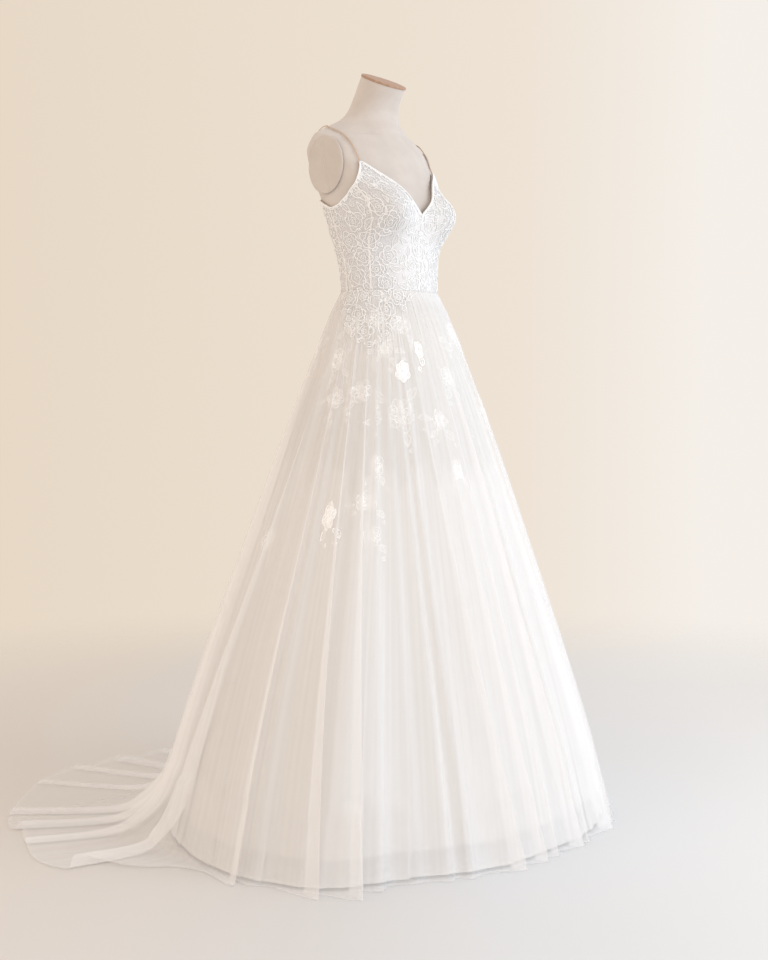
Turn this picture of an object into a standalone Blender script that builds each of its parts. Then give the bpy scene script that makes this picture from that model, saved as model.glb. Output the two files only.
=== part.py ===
"""A tulle and lace wedding dress on a limbless dress form, at real size, in metres.

Z is up, the wearer faces -Y and the wearer's left is +X. The origin is the middle of the
stand's underside, on the floor. "turn" is an angle about Z, in radians, from the front
towards the wearer's left.
"""

import math
from collections import namedtuple

import bmesh
import bpy
from mathutils import Vector
from mathutils.bvhtree import BVHTree

# Heights and sizes that drive the rest
WAIST = 1.145
SEAM_GAP = 0.0003
CLEAR_OF_FORM = 0.0025
BODICE_CLOTH = 0.0018
SKIRT_CLOTH = 0.0022
LINING_CLOTH = 0.0012
LINING_HEM = 0.120
UNDERSKIRT_HEM = 0.050
SKIRT_OFF_WAIST = 0.0045

# The stand under the form
BASE_RADIUS = 0.165
BASE_THICKNESS = 0.014
POLE_RADIUS = 0.016
FORM_BOTTOM = 0.860
BOTTOM_PLATE = 0.012

# One row for each level of the form: half width, reach to the front and back of its middle,
# where that middle lies, how fast the reach falls towards the sides, and the forward tilt.
FormLevel = namedtuple("FormLevel", "height half_width front back middle front_fall back_fall tilt")
FORM_LEVELS = (
    FormLevel(0.860, 0.146, 0.094, 0.106, 0.008, 0.50, 0.50, 0),
    FormLevel(0.880, 0.158, 0.102, 0.118, 0.007, 0.50, 0.50, 0),
    FormLevel(0.930, 0.165, 0.108, 0.126, 0.006, 0.50, 0.50, 0),
    FormLevel(1.000, 0.156, 0.103, 0.117, 0.004, 0.50, 0.50, 0),
    FormLevel(1.080, 0.130, 0.090, 0.096, 0.002, 0.50, 0.48, 0),
    FormLevel(1.145, 0.1155, 0.083, 0.083, 0.000, 0.50, 0.47, 0),
    FormLevel(1.200, 0.118, 0.086, 0.084, 0.004, 0.50, 0.46, 0),
    FormLevel(1.242, 0.1255, 0.090, 0.088, 0.010, 0.50, 0.45, 0),
    FormLevel(1.300, 0.140, 0.099, 0.096, 0.017, 0.55, 0.45, 0),
    FormLevel(1.340, 0.152, 0.098, 0.100, 0.023, 0.65, 0.46, 0),
    FormLevel(1.395, 0.179, 0.090, 0.099, 0.033, 0.90, 0.50, 0),
    FormLevel(1.440, 0.184, 0.090, 0.086, 0.050, 1.08, 0.50, 0),
    FormLevel(1.475, 0.163, 0.083, 0.070, 0.060, 1.15, 0.55, 0),
    FormLevel(1.492, 0.134, 0.081, 0.058, 0.067, 1.25, 0.60, 0),
    FormLevel(1.507, 0.103, 0.075, 0.048, 0.067, 1.20, 0.60, 0),
    FormLevel(1.520, 0.080, 0.064, 0.046, 0.061, 0.90, 0.55, 3),
    FormLevel(1.535, 0.063, 0.054, 0.050, 0.054, 0.55, 0.50, 7),
    FormLevel(1.552, 0.055, 0.049, 0.051, 0.046, 0.50, 0.50, 13),
    FormLevel(1.578, 0.0505, 0.049, 0.049, 0.035, 0.50, 0.50, 20),
    FormLevel(1.602, 0.0500, 0.050, 0.049, 0.021, 0.50, 0.50, 25),
)
MORE_LEVELS = (1.115, 1.164, 1.182, 1.221, 1.262, 1.281, 1.312, 1.321, 1.330, 1.358, 1.376, 1.418, 1.458, 1.500)
NECK_TOP = 1.602
NECK_CAP = 0.004

# The flat faces at the armholes look a little forward, and lean in as they rise
ARM_FACE_HEIGHT = 1.410
ARM_FACE_AT = 0.1225
ARM_FACE_LEAN = -0.05
ARM_FACE_TURN_DEG = 21
ARM_FACE_LOWEST = 1.290
ARM_FACE_FADE = 0.055
ARM_FACE_SOFT = 0.006
ARM_PLATE_MIDDLE = 0.0935
ARM_PLATE_HALF_DEEP = 0.0405
ARM_PLATE_HALF_TALL = 0.062
ARM_PLATE_THICK = 0.004

# The bust of the form, two soft rises
BUST_HEIGHT = 1.312
BUST_OUT = 0.085
BUST_RISE = 0.050
BUST_WIDTH = 0.050
BUST_SIDE_WIDTH = 0.038
BUST_TALL = 0.042
BUST_BRIDGE = 0.007

# Top edge of the bodice, from the V at the front round to the middle of the back
EdgeStop = namedtuple("EdgeStop", "turn_deg height")
TOP_EDGE = (
    EdgeStop(0, 1.305),
    EdgeStop(11, 1.331),
    EdgeStop(20, 1.368),
    EdgeStop(30, 1.397),
    EdgeStop(37.5, 1.412),
    EdgeStop(39.5, 1.401),
    EdgeStop(43, 1.386),
    EdgeStop(50, 1.369),
    EdgeStop(61, 1.353),
    EdgeStop(72, 1.335),
    EdgeStop(82, 1.323),
    EdgeStop(93, 1.320),
    EdgeStop(103, 1.328),
    EdgeStop(115, 1.338),
    EdgeStop(136, 1.345),
    EdgeStop(160, 1.318),
    EdgeStop(180, 1.296),
)
STRAP_FRONT_TURN = 37.5
STRAP_BACK_TURN = 136

# Seams between the bodice panels: the turn at the waist, at the bust and at the top edge
Seam = namedtuple("Seam", "waist_deg bust_deg top_deg")
SEAMS = (
    Seam(0, 0, 0),
    Seam(60, 56, 46),
    Seam(96, 96, 96),
    Seam(134, 132, 128),
    Seam(180, 180, 180),
)
PANEL_NAMES = ("front", "side", "side_back", "back")
PANEL_COLUMNS = (12, 8, 4, 4)
PANEL_ROWS = 11

# Straps
STRAP_WIDTH = 0.0045
STRAP_THICK = 0.0018
STRAP_AT = 0.126
STRAP_STEPS = 13

# Covered buttons down the back closure
BUTTON_COUNT = 8
BUTTON_RADIUS = 0.0050
BUTTON_RISE = 0.0042
BUTTON_SIDES = 8

# The skirt's cone at its valleys, and how far the hem reaches in each direction
ConeStop = namedtuple("ConeStop", "height radius")
CONE = (
    ConeStop(1.145, 0.1040),
    ConeStop(1.100, 0.1240),
    ConeStop(1.010, 0.1600),
    ConeStop(0.850, 0.2180),
    ConeStop(0.600, 0.2990),
    ConeStop(0.300, 0.3910),
    ConeStop(0.150, 0.4330),
    ConeStop(0.000, 0.4670),
)
ReachStop = namedtuple("ReachStop", "turn_deg cone train")
REACH = (
    ReachStop(-180, 0.484, 0.745),
    ReachStop(-165, 0.486, 0.815),
    ReachStop(-152, 0.488, 0.852),
    ReachStop(-140, 0.490, 0.855),
    ReachStop(-125, 0.492, 0.815),
    ReachStop(-112, 0.497, 0.782),
    ReachStop(-102, 0.506, 0.740),
    ReachStop(-92, 0.520, 0.560),
    ReachStop(-75, 0.535, 0.535),
    ReachStop(-60, 0.535, 0.535),
    ReachStop(-50, 0.500, 0.500),
    ReachStop(-40, 0.458, 0.458),
    ReachStop(-15, 0.446, 0.446),
    ReachStop(0, 0.434, 0.434),
    ReachStop(20, 0.450, 0.450),
    ReachStop(45, 0.472, 0.472),
    ReachStop(75, 0.485, 0.485),
    ReachStop(92, 0.500, 0.545),
    ReachStop(105, 0.496, 0.640),
    ReachStop(120, 0.490, 0.705),
    ReachStop(135, 0.486, 0.750),
    ReachStop(150, 0.484, 0.770),
    ReachStop(165, 0.484, 0.765),
    ReachStop(180, 0.484, 0.745),
)
SKIRT_RINGS = (1.145, 1.100, 1.010, 0.850, 0.600, 0.300, 0.0)
BACK_RINGS = (1.145, 1.100, 1.010, 0.850, 0.600, 0.300, 0.150)
# Where the back of the skirt bends on to the floor: height, extra reach and lean of its folds
BendStop = namedtuple("BendStop", "height spread lean_deg")
BEND = (
    BendStop(0.075, 0.016, 30),
    BendStop(0.026, 0.060, 62),
    BendStop(0.000, 0.125, 90),
)
TRAIN_STEPS = 2
TRAIN_STARTS = 92
TRAIN_FULL = 108

# Folds: one gore's row holds the size of each of its folds, as a share of the largest
Gore = namedtuple("Gore", "name start_deg end_deg folds")
GORES = (
    Gore("skirt_front", -36, 36, (0.90, 0.40, 0.80, 0.62, 0.35, 0.80, 0.42, 0.50, 0.90)),
    Gore("skirt_side_right", -92, -36, (0.95, 0.45, 0.50, 1.10, 1.00, 0.42, 0.55)),
    Gore("skirt_side_left", 36, 92, (0.80, 0.50, 0.95, 0.45, 1.05, 0.48, 0.85)),
    Gore("skirt_back_right", -180, -92, (0.60, 0.95, 0.45, 0.80, 0.55, 1.00, 0.50, 0.90, 0.50, 1.00)),
    Gore("skirt_back_left", 92, 180, (1.00, 0.55, 0.85, 0.45, 0.95, 0.60, 0.90, 0.45, 0.80, 0.55)),
)
LARGEST_FOLD = 0.036
GATHER_DEPTH = 0.0026
FLOOR_FOLD = 0.45
GrowthStop = namedtuple("GrowthStop", "height share")
FOLD_GROWTH = (
    GrowthStop(1.145, 0.000),
    GrowthStop(1.100, 0.060),
    GrowthStop(0.850, 0.280),
    GrowthStop(0.600, 0.470),
    GrowthStop(0.300, 0.740),
    GrowthStop(0.000, 1.000),
)
FOLD_WANDER = 0.28

# The two layers under the outer tulle: how far inside it they hang at the waist and lower
# down, how deep their own soft folds are, and where they end
Layer = namedtuple("Layer", "name inside_waist inside_low folds fold_depth hem")
LAYERS = (
    Layer("underskirt", 0.0004, 0.010, 9, 0.009, UNDERSKIRT_HEM),
    Layer("lining", 0.0020, 0.026, 6, 0.012, LINING_HEM),
)
LAYER_RINGS = (1.145, 1.100, 1.010, 0.850, 0.600, 0.300)
LAYER_COLUMNS = 20

# Lace flowers on the skirt: where each lies, its radius and its spin
Flower = namedtuple("Flower", "turn_deg height radius spin_deg")
SKIRT_FLOWERS = (
    Flower(-72, 1.068, 0.024, 10),
    Flower(-51, 1.078, 0.024, 40),
    Flower(-31, 1.070, 0.023, 0),
    Flower(-45, 1.018, 0.022, 60),
    Flower(-19, 1.018, 0.020, 15),
    Flower(-82, 0.995, 0.028, 25),
    Flower(-76, 0.915, 0.025, 50),
    Flower(-59, 0.930, 0.026, 5),
    Flower(-33, 0.972, 0.025, 30),
    Flower(-37, 0.882, 0.038, 45),
    Flower(1, 0.958, 0.026, 20),
    Flower(-14, 0.871, 0.024, 55),
    Flower(-50, 0.780, 0.026, 35),
    Flower(-9, 0.769, 0.022, 12),
    Flower(-53, 0.709, 0.024, 33),
    Flower(-68, 0.679, 0.031, 22),
    Flower(-51, 0.642, 0.022, 48),
    Flower(-96, 0.625, 0.026, 5),
    Flower(26, 1.055, 0.030, 27),
    Flower(58, 1.040, 0.030, 38),
    Flower(40, 0.900, 0.032, 8),
    Flower(76, 0.800, 0.030, 52),
    Flower(106, 1.030, 0.030, 30),
    Flower(-118, 1.020, 0.030, 14),
)
PETALS = 5
PETAL_EDGE = (0.64, 1.00, 1.00)
FLOWER_CLOTH = 0.0014
FLOWER_LIFT = 0.00035
PETAL_RISE = 0.0022

Look = namedtuple("Look", "colour roughness metallic")
LACE_WHITE = Look((0.90, 0.88, 0.86), 0.75, 0.0)
TULLE = Look((0.88, 0.84, 0.80), 0.70, 0.0)
LINING_IVORY = Look((0.86, 0.79, 0.72), 0.55, 0.0)
STRAP_TAN = Look((0.62, 0.47, 0.36), 0.60, 0.0)
FORM_LINEN = Look((0.78, 0.73, 0.68), 0.85, 0.0)
CAP_TAN = Look((0.62, 0.40, 0.28), 0.50, 0.0)
STAND_METAL = Look((0.80, 0.78, 0.75), 0.40, 1.0)


class Curve:
    """A smooth curve through stops that never overshoots them."""

    def __init__(self, places, values):
        pairs = sorted(zip(places, values))
        self.x = [p[0] for p in pairs]
        self.y = [p[1] for p in pairs]
        steps = [b - a for a, b in zip(self.x, self.x[1:])]
        slopes = [(b - a) / h for a, b, h in zip(self.y, self.y[1:], steps)]
        self.tangents = [slopes[0]]
        for left, right in zip(slopes, slopes[1:]):
            same_way = left * right > 0
            self.tangents.append(2 * left * right / (left + right) if same_way else 0.0)
        self.tangents.append(slopes[-1])

    def __call__(self, place):
        place = min(max(place, self.x[0]), self.x[-1])
        i = 0
        while i < len(self.x) - 2 and place > self.x[i + 1]:
            i += 1
        step = self.x[i + 1] - self.x[i]
        t = (place - self.x[i]) / step
        start = (1 + 2 * t) * (1 - t) ** 2 * self.y[i] + t * (1 - t) ** 2 * step * self.tangents[i]
        end = t * t * (3 - 2 * t) * self.y[i + 1] + t * t * (t - 1) * step * self.tangents[i + 1]
        return start + end


def straight_between(stops, values, place):
    """The value at a place on straight lines between falling stops."""
    for high, low, a, b in zip(stops, stops[1:], values, values[1:]):
        if place >= low:
            return a + (b - a) * (high - min(place, high)) / (high - low)
    return values[-1]


def column(rows, across, name):
    return Curve([getattr(r, across) for r in rows], [getattr(r, name) for r in rows])


HALF_WIDTH = column(FORM_LEVELS, "height", "half_width")
FRONT = column(FORM_LEVELS, "height", "front")
BACK = column(FORM_LEVELS, "height", "back")
MIDDLE = column(FORM_LEVELS, "height", "middle")
FRONT_FALL = column(FORM_LEVELS, "height", "front_fall")
BACK_FALL = column(FORM_LEVELS, "height", "back_fall")
TILT = column(FORM_LEVELS, "height", "tilt")
TOP_OF_BODICE = column(TOP_EDGE, "turn_deg", "height")
CONE_RADIUS = column(CONE, "height", "radius")
CONE_REACH = column(REACH, "turn_deg", "cone")
TRAIN_REACH = column(REACH, "turn_deg", "train")
GROWTH = column(FOLD_GROWTH, "height", "share")


def smooth_step(low, high, value):
    t = min(max((value - low) / (high - low), 0.0), 1.0)
    return t * t * (3 - 2 * t)


def bump(offset, width):
    return math.exp(-((offset / width) ** 2))


def arm_face(height):
    """How far out the flat faces at the armholes lie, and further out below them."""
    below = 1 - smooth_step(ARM_FACE_LOWEST, ARM_FACE_LOWEST + ARM_FACE_FADE, height)
    return ARM_FACE_AT + ARM_FACE_LEAN * (height - ARM_FACE_HEIGHT) + 0.020 * below


def form_point(turn, height, bridge=0.0):
    """A point of the form's surface; a bridge widens the bust, as cloth does that spans it."""
    across, ahead = math.sin(turn), math.cos(turn)
    x = HALF_WIDTH(height) * across
    if ahead >= 0:
        reach = FRONT(height) * ahead ** (2 * FRONT_FALL(height))
        wide = (BUST_WIDTH if abs(x) < BUST_OUT else BUST_SIDE_WIDTH) + bridge
        rise = bump(x - BUST_OUT, wide) + bump(x + BUST_OUT, wide)
        rise *= bump(height - BUST_HEIGHT, BUST_TALL + bridge)
        reach += BUST_RISE * rise * smooth_step(0.0, 0.6, ahead)
    else:
        reach = -BACK(height) * (-ahead) ** (2 * BACK_FALL(height))
    tilt = math.radians(TILT(height))
    y = MIDDLE(height) - reach * math.cos(tilt)
    face_x, face_y = math.cos(math.radians(ARM_FACE_TURN_DEG)), -math.sin(math.radians(ARM_FACE_TURN_DEG))
    over = abs(x) * face_x + y * face_y - arm_face(height) - bridge / 4
    over = (over + math.hypot(over, ARM_FACE_SOFT)) / 2
    x -= math.copysign(over * face_x, x)
    return Vector((x, y - over * face_y, height - reach * math.sin(tilt)))


def over_form(turn, height, lift, bridge=0.0):
    """A point that lies a lift above the form's surface."""
    d = 0.002
    along = form_point(turn + d, height, bridge) - form_point(turn - d, height, bridge)
    up = form_point(turn, height + d, bridge) - form_point(turn, height - d, bridge)
    return form_point(turn, height, bridge) + along.cross(up).normalized() * lift


def new_object(name, points, faces, look, smooth=True):
    mesh = bpy.data.meshes.new(name)
    mesh.from_pydata([tuple(p) for p in points], [], faces)
    work = bmesh.new()
    work.from_mesh(mesh)
    bmesh.ops.recalc_face_normals(work, faces=work.faces)
    if work.calc_volume(signed=True) < 0:
        bmesh.ops.reverse_faces(work, faces=work.faces)
    work.to_mesh(mesh)
    work.free()
    if smooth:
        mesh.shade_smooth()
        mesh.set_sharp_from_angle(angle=math.radians(50))
    obj = bpy.data.objects.new(name, mesh)
    bpy.context.scene.collection.objects.link(obj)
    obj.data.materials.append(material_for(look))
    return obj


MATERIALS = {}


def material_for(look):
    if look not in MATERIALS:
        made = bpy.data.materials.new("finish_%d" % len(MATERIALS))
        made.use_nodes = True
        shader = made.node_tree.nodes["Principled BSDF"]
        shader.inputs["Base Color"].default_value = (*look.colour, 1.0)
        shader.inputs["Roughness"].default_value = look.roughness
        shader.inputs["Metallic"].default_value = look.metallic
        MATERIALS[look] = made
    return MATERIALS[look]


def loft(name, rings, look):
    """A closed body through rings of equal count, with flat ends."""
    count = len(rings[0])
    points = [p for ring in rings for p in ring]
    faces = [tuple(range(count)), tuple((len(rings) - 1) * count + i for i in reversed(range(count)))]
    for j in range(len(rings) - 1):
        for i in range(count):
            k = (i + 1) % count
            faces.append((j * count + i, j * count + k, (j + 1) * count + k, (j + 1) * count + i))
    return new_object(name, points, faces, look)


def wall(name, inner, outer, look):
    """A closed cloth wall between two grids of points, [column][row], in fixed triangles."""
    columns, rows = len(inner), len(inner[0])
    points = [p for side in (inner, outer) for line in side for p in line]
    half = columns * rows

    def at(side, i, j):
        return side * half + i * rows + j

    faces = []
    for side in (0, 1):
        for i in range(columns - 1):
            for j in range(rows - 1):
                a, b = at(side, i, j), at(side, i + 1, j)
                c, d = at(side, i + 1, j + 1), at(side, i, j + 1)
                faces += [(a, b, d), (b, c, d)]
    for i in range(columns - 1):
        for j in (0, rows - 1):
            faces.append((at(0, i, j), at(0, i + 1, j), at(1, i + 1, j), at(1, i, j)))
    for j in range(rows - 1):
        for i in (0, columns - 1):
            faces.append((at(0, i, j), at(0, i, j + 1), at(1, i, j + 1), at(1, i, j)))
    return new_object(name, points, faces, look)


def circle_ring(radius, height, sides):
    turns = [2 * math.pi * i / sides for i in range(sides)]
    return [Vector((radius * math.sin(t), -radius * math.cos(t), height)) for t in turns]


def make_stand():
    """A round base, a pole and the plate that closes the form, with the seams' gap between."""
    edge = 0.004
    loft(
        "stand_base",
        [
            circle_ring(BASE_RADIUS, 0.0, 32),
            circle_ring(BASE_RADIUS, BASE_THICKNESS - edge, 32),
            circle_ring(BASE_RADIUS - edge, BASE_THICKNESS, 32),
        ],
        STAND_METAL,
    )
    plate_low = FORM_BOTTOM - SEAM_GAP - BOTTOM_PLATE
    loft(
        "stand_pole",
        [
            circle_ring(POLE_RADIUS, BASE_THICKNESS + SEAM_GAP, 16),
            circle_ring(POLE_RADIUS, plate_low - SEAM_GAP, 16),
        ],
        STAND_METAL,
    )
    inset = 0.006
    rings = []
    for height, share in ((plate_low, inset), (plate_low + BOTTOM_PLATE, inset)):
        ring = []
        for i in range(32):
            point = form_point(2 * math.pi * i / 32, FORM_BOTTOM)
            flat = Vector((point.x, point.y, 0.0))
            flat -= flat.normalized() * share
            ring.append(Vector((flat.x, flat.y, height)))
        rings.append(ring)
    loft("form_bottom_plate", rings, CAP_TAN)


def make_form():
    """The linen-covered body, its neck cap and its two arm plates."""
    heights = [r.height for r in FORM_LEVELS] + list(MORE_LEVELS)
    sides = 36
    rings = []
    for height in sorted(heights):
        rings.append([form_point(2 * math.pi * (i + 0.5) / sides, height) for i in range(sides)])
    loft("form_body", rings, FORM_LINEN)
    tilt = math.radians(TILT(NECK_TOP))
    outward = Vector((0.0, -math.sin(tilt), math.cos(tilt)))
    cap_rings = []
    for lift, shrink in ((SEAM_GAP, 0.0), (SEAM_GAP + NECK_CAP, 0.0), (SEAM_GAP + NECK_CAP + 0.001, 0.06)):
        ring = []
        for i in range(32):
            point = form_point(2 * math.pi * i / 32, NECK_TOP)
            centre = Vector((0.0, MIDDLE(NECK_TOP), NECK_TOP))
            ring.append(centre + (point - centre) * (1.03 - shrink) + outward * lift)
        cap_rings.append(ring)
    loft("form_neck_cap", cap_rings, CAP_TAN)
    for side, name in ((-1, "right"), (1, "left")):
        make_arm_plate(side, "form_arm_plate_" + name)


def make_arm_plate(side, name):
    """An oval plate on the flat face at an armhole."""
    lean = math.atan(ARM_FACE_LEAN)
    turn = math.radians(ARM_FACE_TURN_DEG)
    out = Vector((side * math.cos(turn), -math.sin(turn), 0.0))
    back = Vector((side * math.sin(turn), math.cos(turn), 0.0))
    up = Vector((0.0, 0.0, 1.0))
    face = (out - up * math.tan(lean)).normalized()
    middle = out * ARM_FACE_AT + back * ARM_PLATE_MIDDLE + up * ARM_FACE_HEIGHT
    rings = []
    for lift, share in ((SEAM_GAP, 1.0), (ARM_PLATE_THICK, 1.0), (ARM_PLATE_THICK + 0.001, 0.94)):
        ring = []
        for i in range(24):
            a = 2 * math.pi * i / 24
            tall = ARM_PLATE_HALF_TALL * share * math.sin(a)
            deep = ARM_PLATE_HALF_DEEP * share * math.cos(a)
            ring.append(middle + back * deep + (up + out * math.tan(lean)) * tall + face * lift)
        rings.append(ring)
    loft(name, rings, FORM_LINEN)


def seam_turn(seam, height):
    """Where a bodice seam runs at a height, in degrees."""
    line = Curve((WAIST, BUST_HEIGHT, 1.42), (seam.waist_deg, seam.bust_deg, seam.top_deg))
    return line(height)


def seam_end(seam):
    """The turn and height where a seam meets the top edge."""
    height = 1.35
    for _ in range(12):
        height = TOP_OF_BODICE(seam_turn(seam, height))
    return seam_turn(seam, height), height


def panel_grid(left, right, columns, rows, side, lift):
    """Points of one bodice panel between two seams, a lift over the form."""
    (left_top, _), (right_top, _) = seam_end(left), seam_end(right)
    grid = []
    for i in range(columns + 1):
        share = i / columns
        top = TOP_OF_BODICE(left_top + (right_top - left_top) * share)
        line = []
        for j in range(rows + 1):
            height = WAIST + (top - WAIST) * j / rows
            a, b = seam_turn(left, height), seam_turn(right, height)
            if j == rows:
                a, b = left_top, right_top
            turn = math.radians(a + (b - a) * share)
            inset = math.degrees(SEAM_GAP / 2 / 0.1)
            nudge = inset if i == 0 else -inset if i == columns else 0.0
            place = side * (turn + math.radians(nudge))
            line.append(over_form(place, height, lift, BUST_BRIDGE))
        grid.append(line)
    return grid


def make_bodice():
    """Eight panels, four a side, whose seams run from the waist to the top edge."""
    for side, side_name in ((-1, "right"), (1, "left")):
        for k, panel in enumerate(PANEL_NAMES):
            shape = (SEAMS[k], SEAMS[k + 1], PANEL_COLUMNS[k], PANEL_ROWS, side)
            inner = panel_grid(*shape, CLEAR_OF_FORM)
            outer = panel_grid(*shape, CLEAR_OF_FORM + BODICE_CLOTH)
            wall("bodice_%s_%s" % (panel, side_name), inner, outer, LACE_WHITE)


def strap_route(side):
    """The strap's middle line, up the chest, over the shoulder and down the back."""
    over = CLEAR_OF_FORM + STRAP_THICK / 2
    ends = []
    for turn_deg in (STRAP_FRONT_TURN, STRAP_BACK_TURN):
        turn = math.radians(turn_deg)
        ends.append((turn, TOP_OF_BODICE(turn_deg) + 0.0006))
    crest = 1.450
    while HALF_WIDTH(crest) > STRAP_AT * 1.004:
        crest += 0.0002
    route = []
    for (turn, low), sign in ((ends[0], 1), (ends[1], -1)):
        line = []
        start_x = HALF_WIDTH(low) * math.sin(turn)
        for i in range(STRAP_STEPS + 1):
            share = i / STRAP_STEPS
            height = low + (crest - low) * (1 - (1 - share) ** 2)
            x = start_x + (STRAP_AT - start_x) * smooth_step(0, 1, share)
            across = math.asin(min(x / HALF_WIDTH(height), 1.0))
            place = across if sign > 0 else math.pi - across
            line.append((place, height))
        route.append(line)
    joined = route[0] + route[1][-2::-1]
    return [over_form(side * turn, height, over, BUST_BRIDGE) for turn, height in joined]


def ribbon(name, route, width, thick, look):
    """A flat strap along a route, kept square to it."""
    rings = []
    centre = Vector((0.0, MIDDLE(1.4), 1.38))
    for i, point in enumerate(route):
        along = (route[min(i + 1, len(route) - 1)] - route[max(i - 1, 0)]).normalized()
        out = point - centre
        out = (out - along * out.dot(along)).normalized()
        sideways = along.cross(out)
        corners = ((-1, -1), (1, -1), (1, 1), (-1, 1))
        rings.append([point + sideways * (a * width / 2) + out * (b * thick / 2) for a, b in corners])
    return loft(name, rings, look)


def make_straps():
    for side, name in ((-1, "right"), (1, "left")):
        ribbon("strap_" + name, strap_route(side), STRAP_WIDTH, STRAP_THICK, STRAP_TAN)


def make_buttons():
    """Covered buttons over the closure at the middle of the back."""
    top = TOP_OF_BODICE(180) - 0.010
    low = WAIST + 0.012
    for k in range(BUTTON_COUNT):
        height = low + (top - low) * k / (BUTTON_COUNT - 1)
        foot = over_form(math.pi, height, CLEAR_OF_FORM + BODICE_CLOTH)
        d = 0.004
        up = over_form(math.pi, height + d, 0) - over_form(math.pi, height - d, 0)
        up.normalize()
        across = Vector((1.0, 0.0, 0.0))
        out = up.cross(across).normalized()
        if out.y < 0:
            out = -out
        rings = []
        for rise, share in ((0.0007, 0.85), (0.0020, 1.0), (BUTTON_RISE, 0.50)):
            ring = []
            for i in range(BUTTON_SIDES):
                a = 2 * math.pi * i / BUTTON_SIDES
                spoke = across * math.cos(a) + up * math.sin(a)
                ring.append(foot + out * rise + spoke * BUTTON_RADIUS * share)
            rings.append(ring)
        loft("button_%d" % (k + 1), rings, LACE_WHITE)


def cone_point(turn, height):
    """The skirt's own surface without folds, as (x, y), on straight lines between rings."""
    deg = (math.degrees(turn) + 180) % 360 - 180
    start = CONE[0].radius
    full = CONE[-1].radius
    stretch = (CONE_REACH(deg) - start) / (full - start)
    waist = over_form(turn, WAIST, SKIRT_OFF_WAIST)
    radii = []
    for ring in SKIRT_RINGS:
        down = (WAIST - ring) / WAIST
        part = start + (CONE_RADIUS(ring) - start) * (1 + (stretch - 1) * smooth_step(0, 1, down * 1.4))
        radii.append((part, (1 - down) ** 2))
    radius = straight_between(SKIRT_RINGS, [r[0] for r in radii], height)
    pull = straight_between(SKIRT_RINGS, [r[1] for r in radii], height)
    way = Vector((math.sin(turn), -math.cos(turn)))
    return way * (radius - start * pull) + Vector((waist.x, waist.y)) * pull


def fold_places(gore):
    """For each column of a gore: its turn at the waist and at the hem, and its fold's size."""
    count = len(gore.folds)
    wide = (gore.end_deg - gore.start_deg) / count
    valleys = []
    for k in range(count + 1):
        even = gore.start_deg + wide * k
        wander = FOLD_WANDER * wide * math.sin(2.3 * k + gore.start_deg)
        valleys.append((even, even + (wander if 0 < k < count else 0.0)))
    places = []
    for k, size in enumerate(gore.folds):
        for quarter, rise in ((0, 0.0), (1, 0.55), (2, 1.0), (3, 0.55)):
            share = quarter / 4
            ends = [valleys[k][e] + (valleys[k + 1][e] - valleys[k][e]) * share for e in (0, 1)]
            places.append((ends[0], ends[1], rise * size, rise))
    places.append((valleys[-1][0], valleys[-1][1], 0.0, 0.0))
    return places


def fold_rise(size, gather, height):
    """How far a fold stands out at a height."""
    share = straight_between(SKIRT_RINGS, [GROWTH(r) for r in SKIRT_RINGS], max(height, 0.0))
    return LARGEST_FOLD * size * share + GATHER_DEPTH * gather * (1 - share)


def skirt_point(turn, height, out):
    """A point of the skirt's wall, moved out level from its cone."""
    flat = cone_point(turn, height)
    way = Vector((math.sin(turn), -math.cos(turn)))
    flat = flat + way * out
    return Vector((flat.x, flat.y, height))


def gore_line(gore, place, lift):
    """One column of a gore from waist to hem."""
    waist_deg, hem_deg, size, gather = place
    nudge = 0.0
    if waist_deg <= gore.start_deg:
        nudge = 1.0
    elif waist_deg >= gore.end_deg:
        nudge = -1.0
    is_back = gore.end_deg > 170 or gore.start_deg < -170
    line = []
    rings = BACK_RINGS if is_back else SKIRT_RINGS
    for ring in rings:
        down = (WAIST - ring) / WAIST
        radius = cone_point(math.radians(hem_deg), ring).length
        turn = math.radians(waist_deg + (hem_deg - waist_deg) * down) + nudge * SEAM_GAP / 2 / radius
        rise = fold_rise(size, gather, ring)
        top = SEAM_GAP if ring == WAIST else 0.0
        point = skirt_point(turn, ring, rise + lift)
        line.append(Vector((point.x, point.y, point.z - top)))
    if is_back:
        line += floor_line(hem_deg, nudge, size, gather, lift)
    return line


def floor_line(hem_deg, nudge, size, gather, lift):
    """The lower end of a back column, where the cloth bends on to the floor and runs out."""
    full = smooth_step(TRAIN_STARTS, TRAIN_FULL, abs(hem_deg))
    turn = math.radians(hem_deg)
    line = []
    for stop in BEND:
        lean = math.radians(stop.lean_deg)
        spread = stop.spread * (0.02 + 0.98 * full)
        rise = fold_rise(size, gather, stop.height) * (1 - (1 - FLOOR_FOLD) * stop.lean_deg / 90)
        reach = cone_point(turn, stop.height).length + spread + (rise + lift) * math.cos(lean)
        height = stop.height + (rise + lift) * math.sin(lean)
        line.append((reach, height))
    landed = cone_point(turn, 0.0).length + BEND[-1].spread * (0.02 + 0.98 * full)
    hem = max(TRAIN_REACH(hem_deg), landed + 0.012)
    for k in range(1, TRAIN_STEPS + 1):
        share = k / TRAIN_STEPS
        rise = fold_rise(size, gather, 0.0) * FLOOR_FOLD * (1 - 0.55 * share)
        line.append((landed + (hem - landed) * share, rise + lift))
    placed = []
    for reach, height in line:
        way_turn = turn + nudge * SEAM_GAP / 2 / reach
        placed.append(Vector((reach * math.sin(way_turn), -reach * math.cos(way_turn), height)))
    return placed


def make_skirt():
    """Five gores of gathered tulle; the two at the back run out into the train."""
    for gore in GORES:
        places = fold_places(gore)
        inner = [gore_line(gore, place, 0.0) for place in places]
        outer = [gore_line(gore, place, SKIRT_CLOTH) for place in places]
        wall(gore.name, inner, outer, TULLE)


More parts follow.
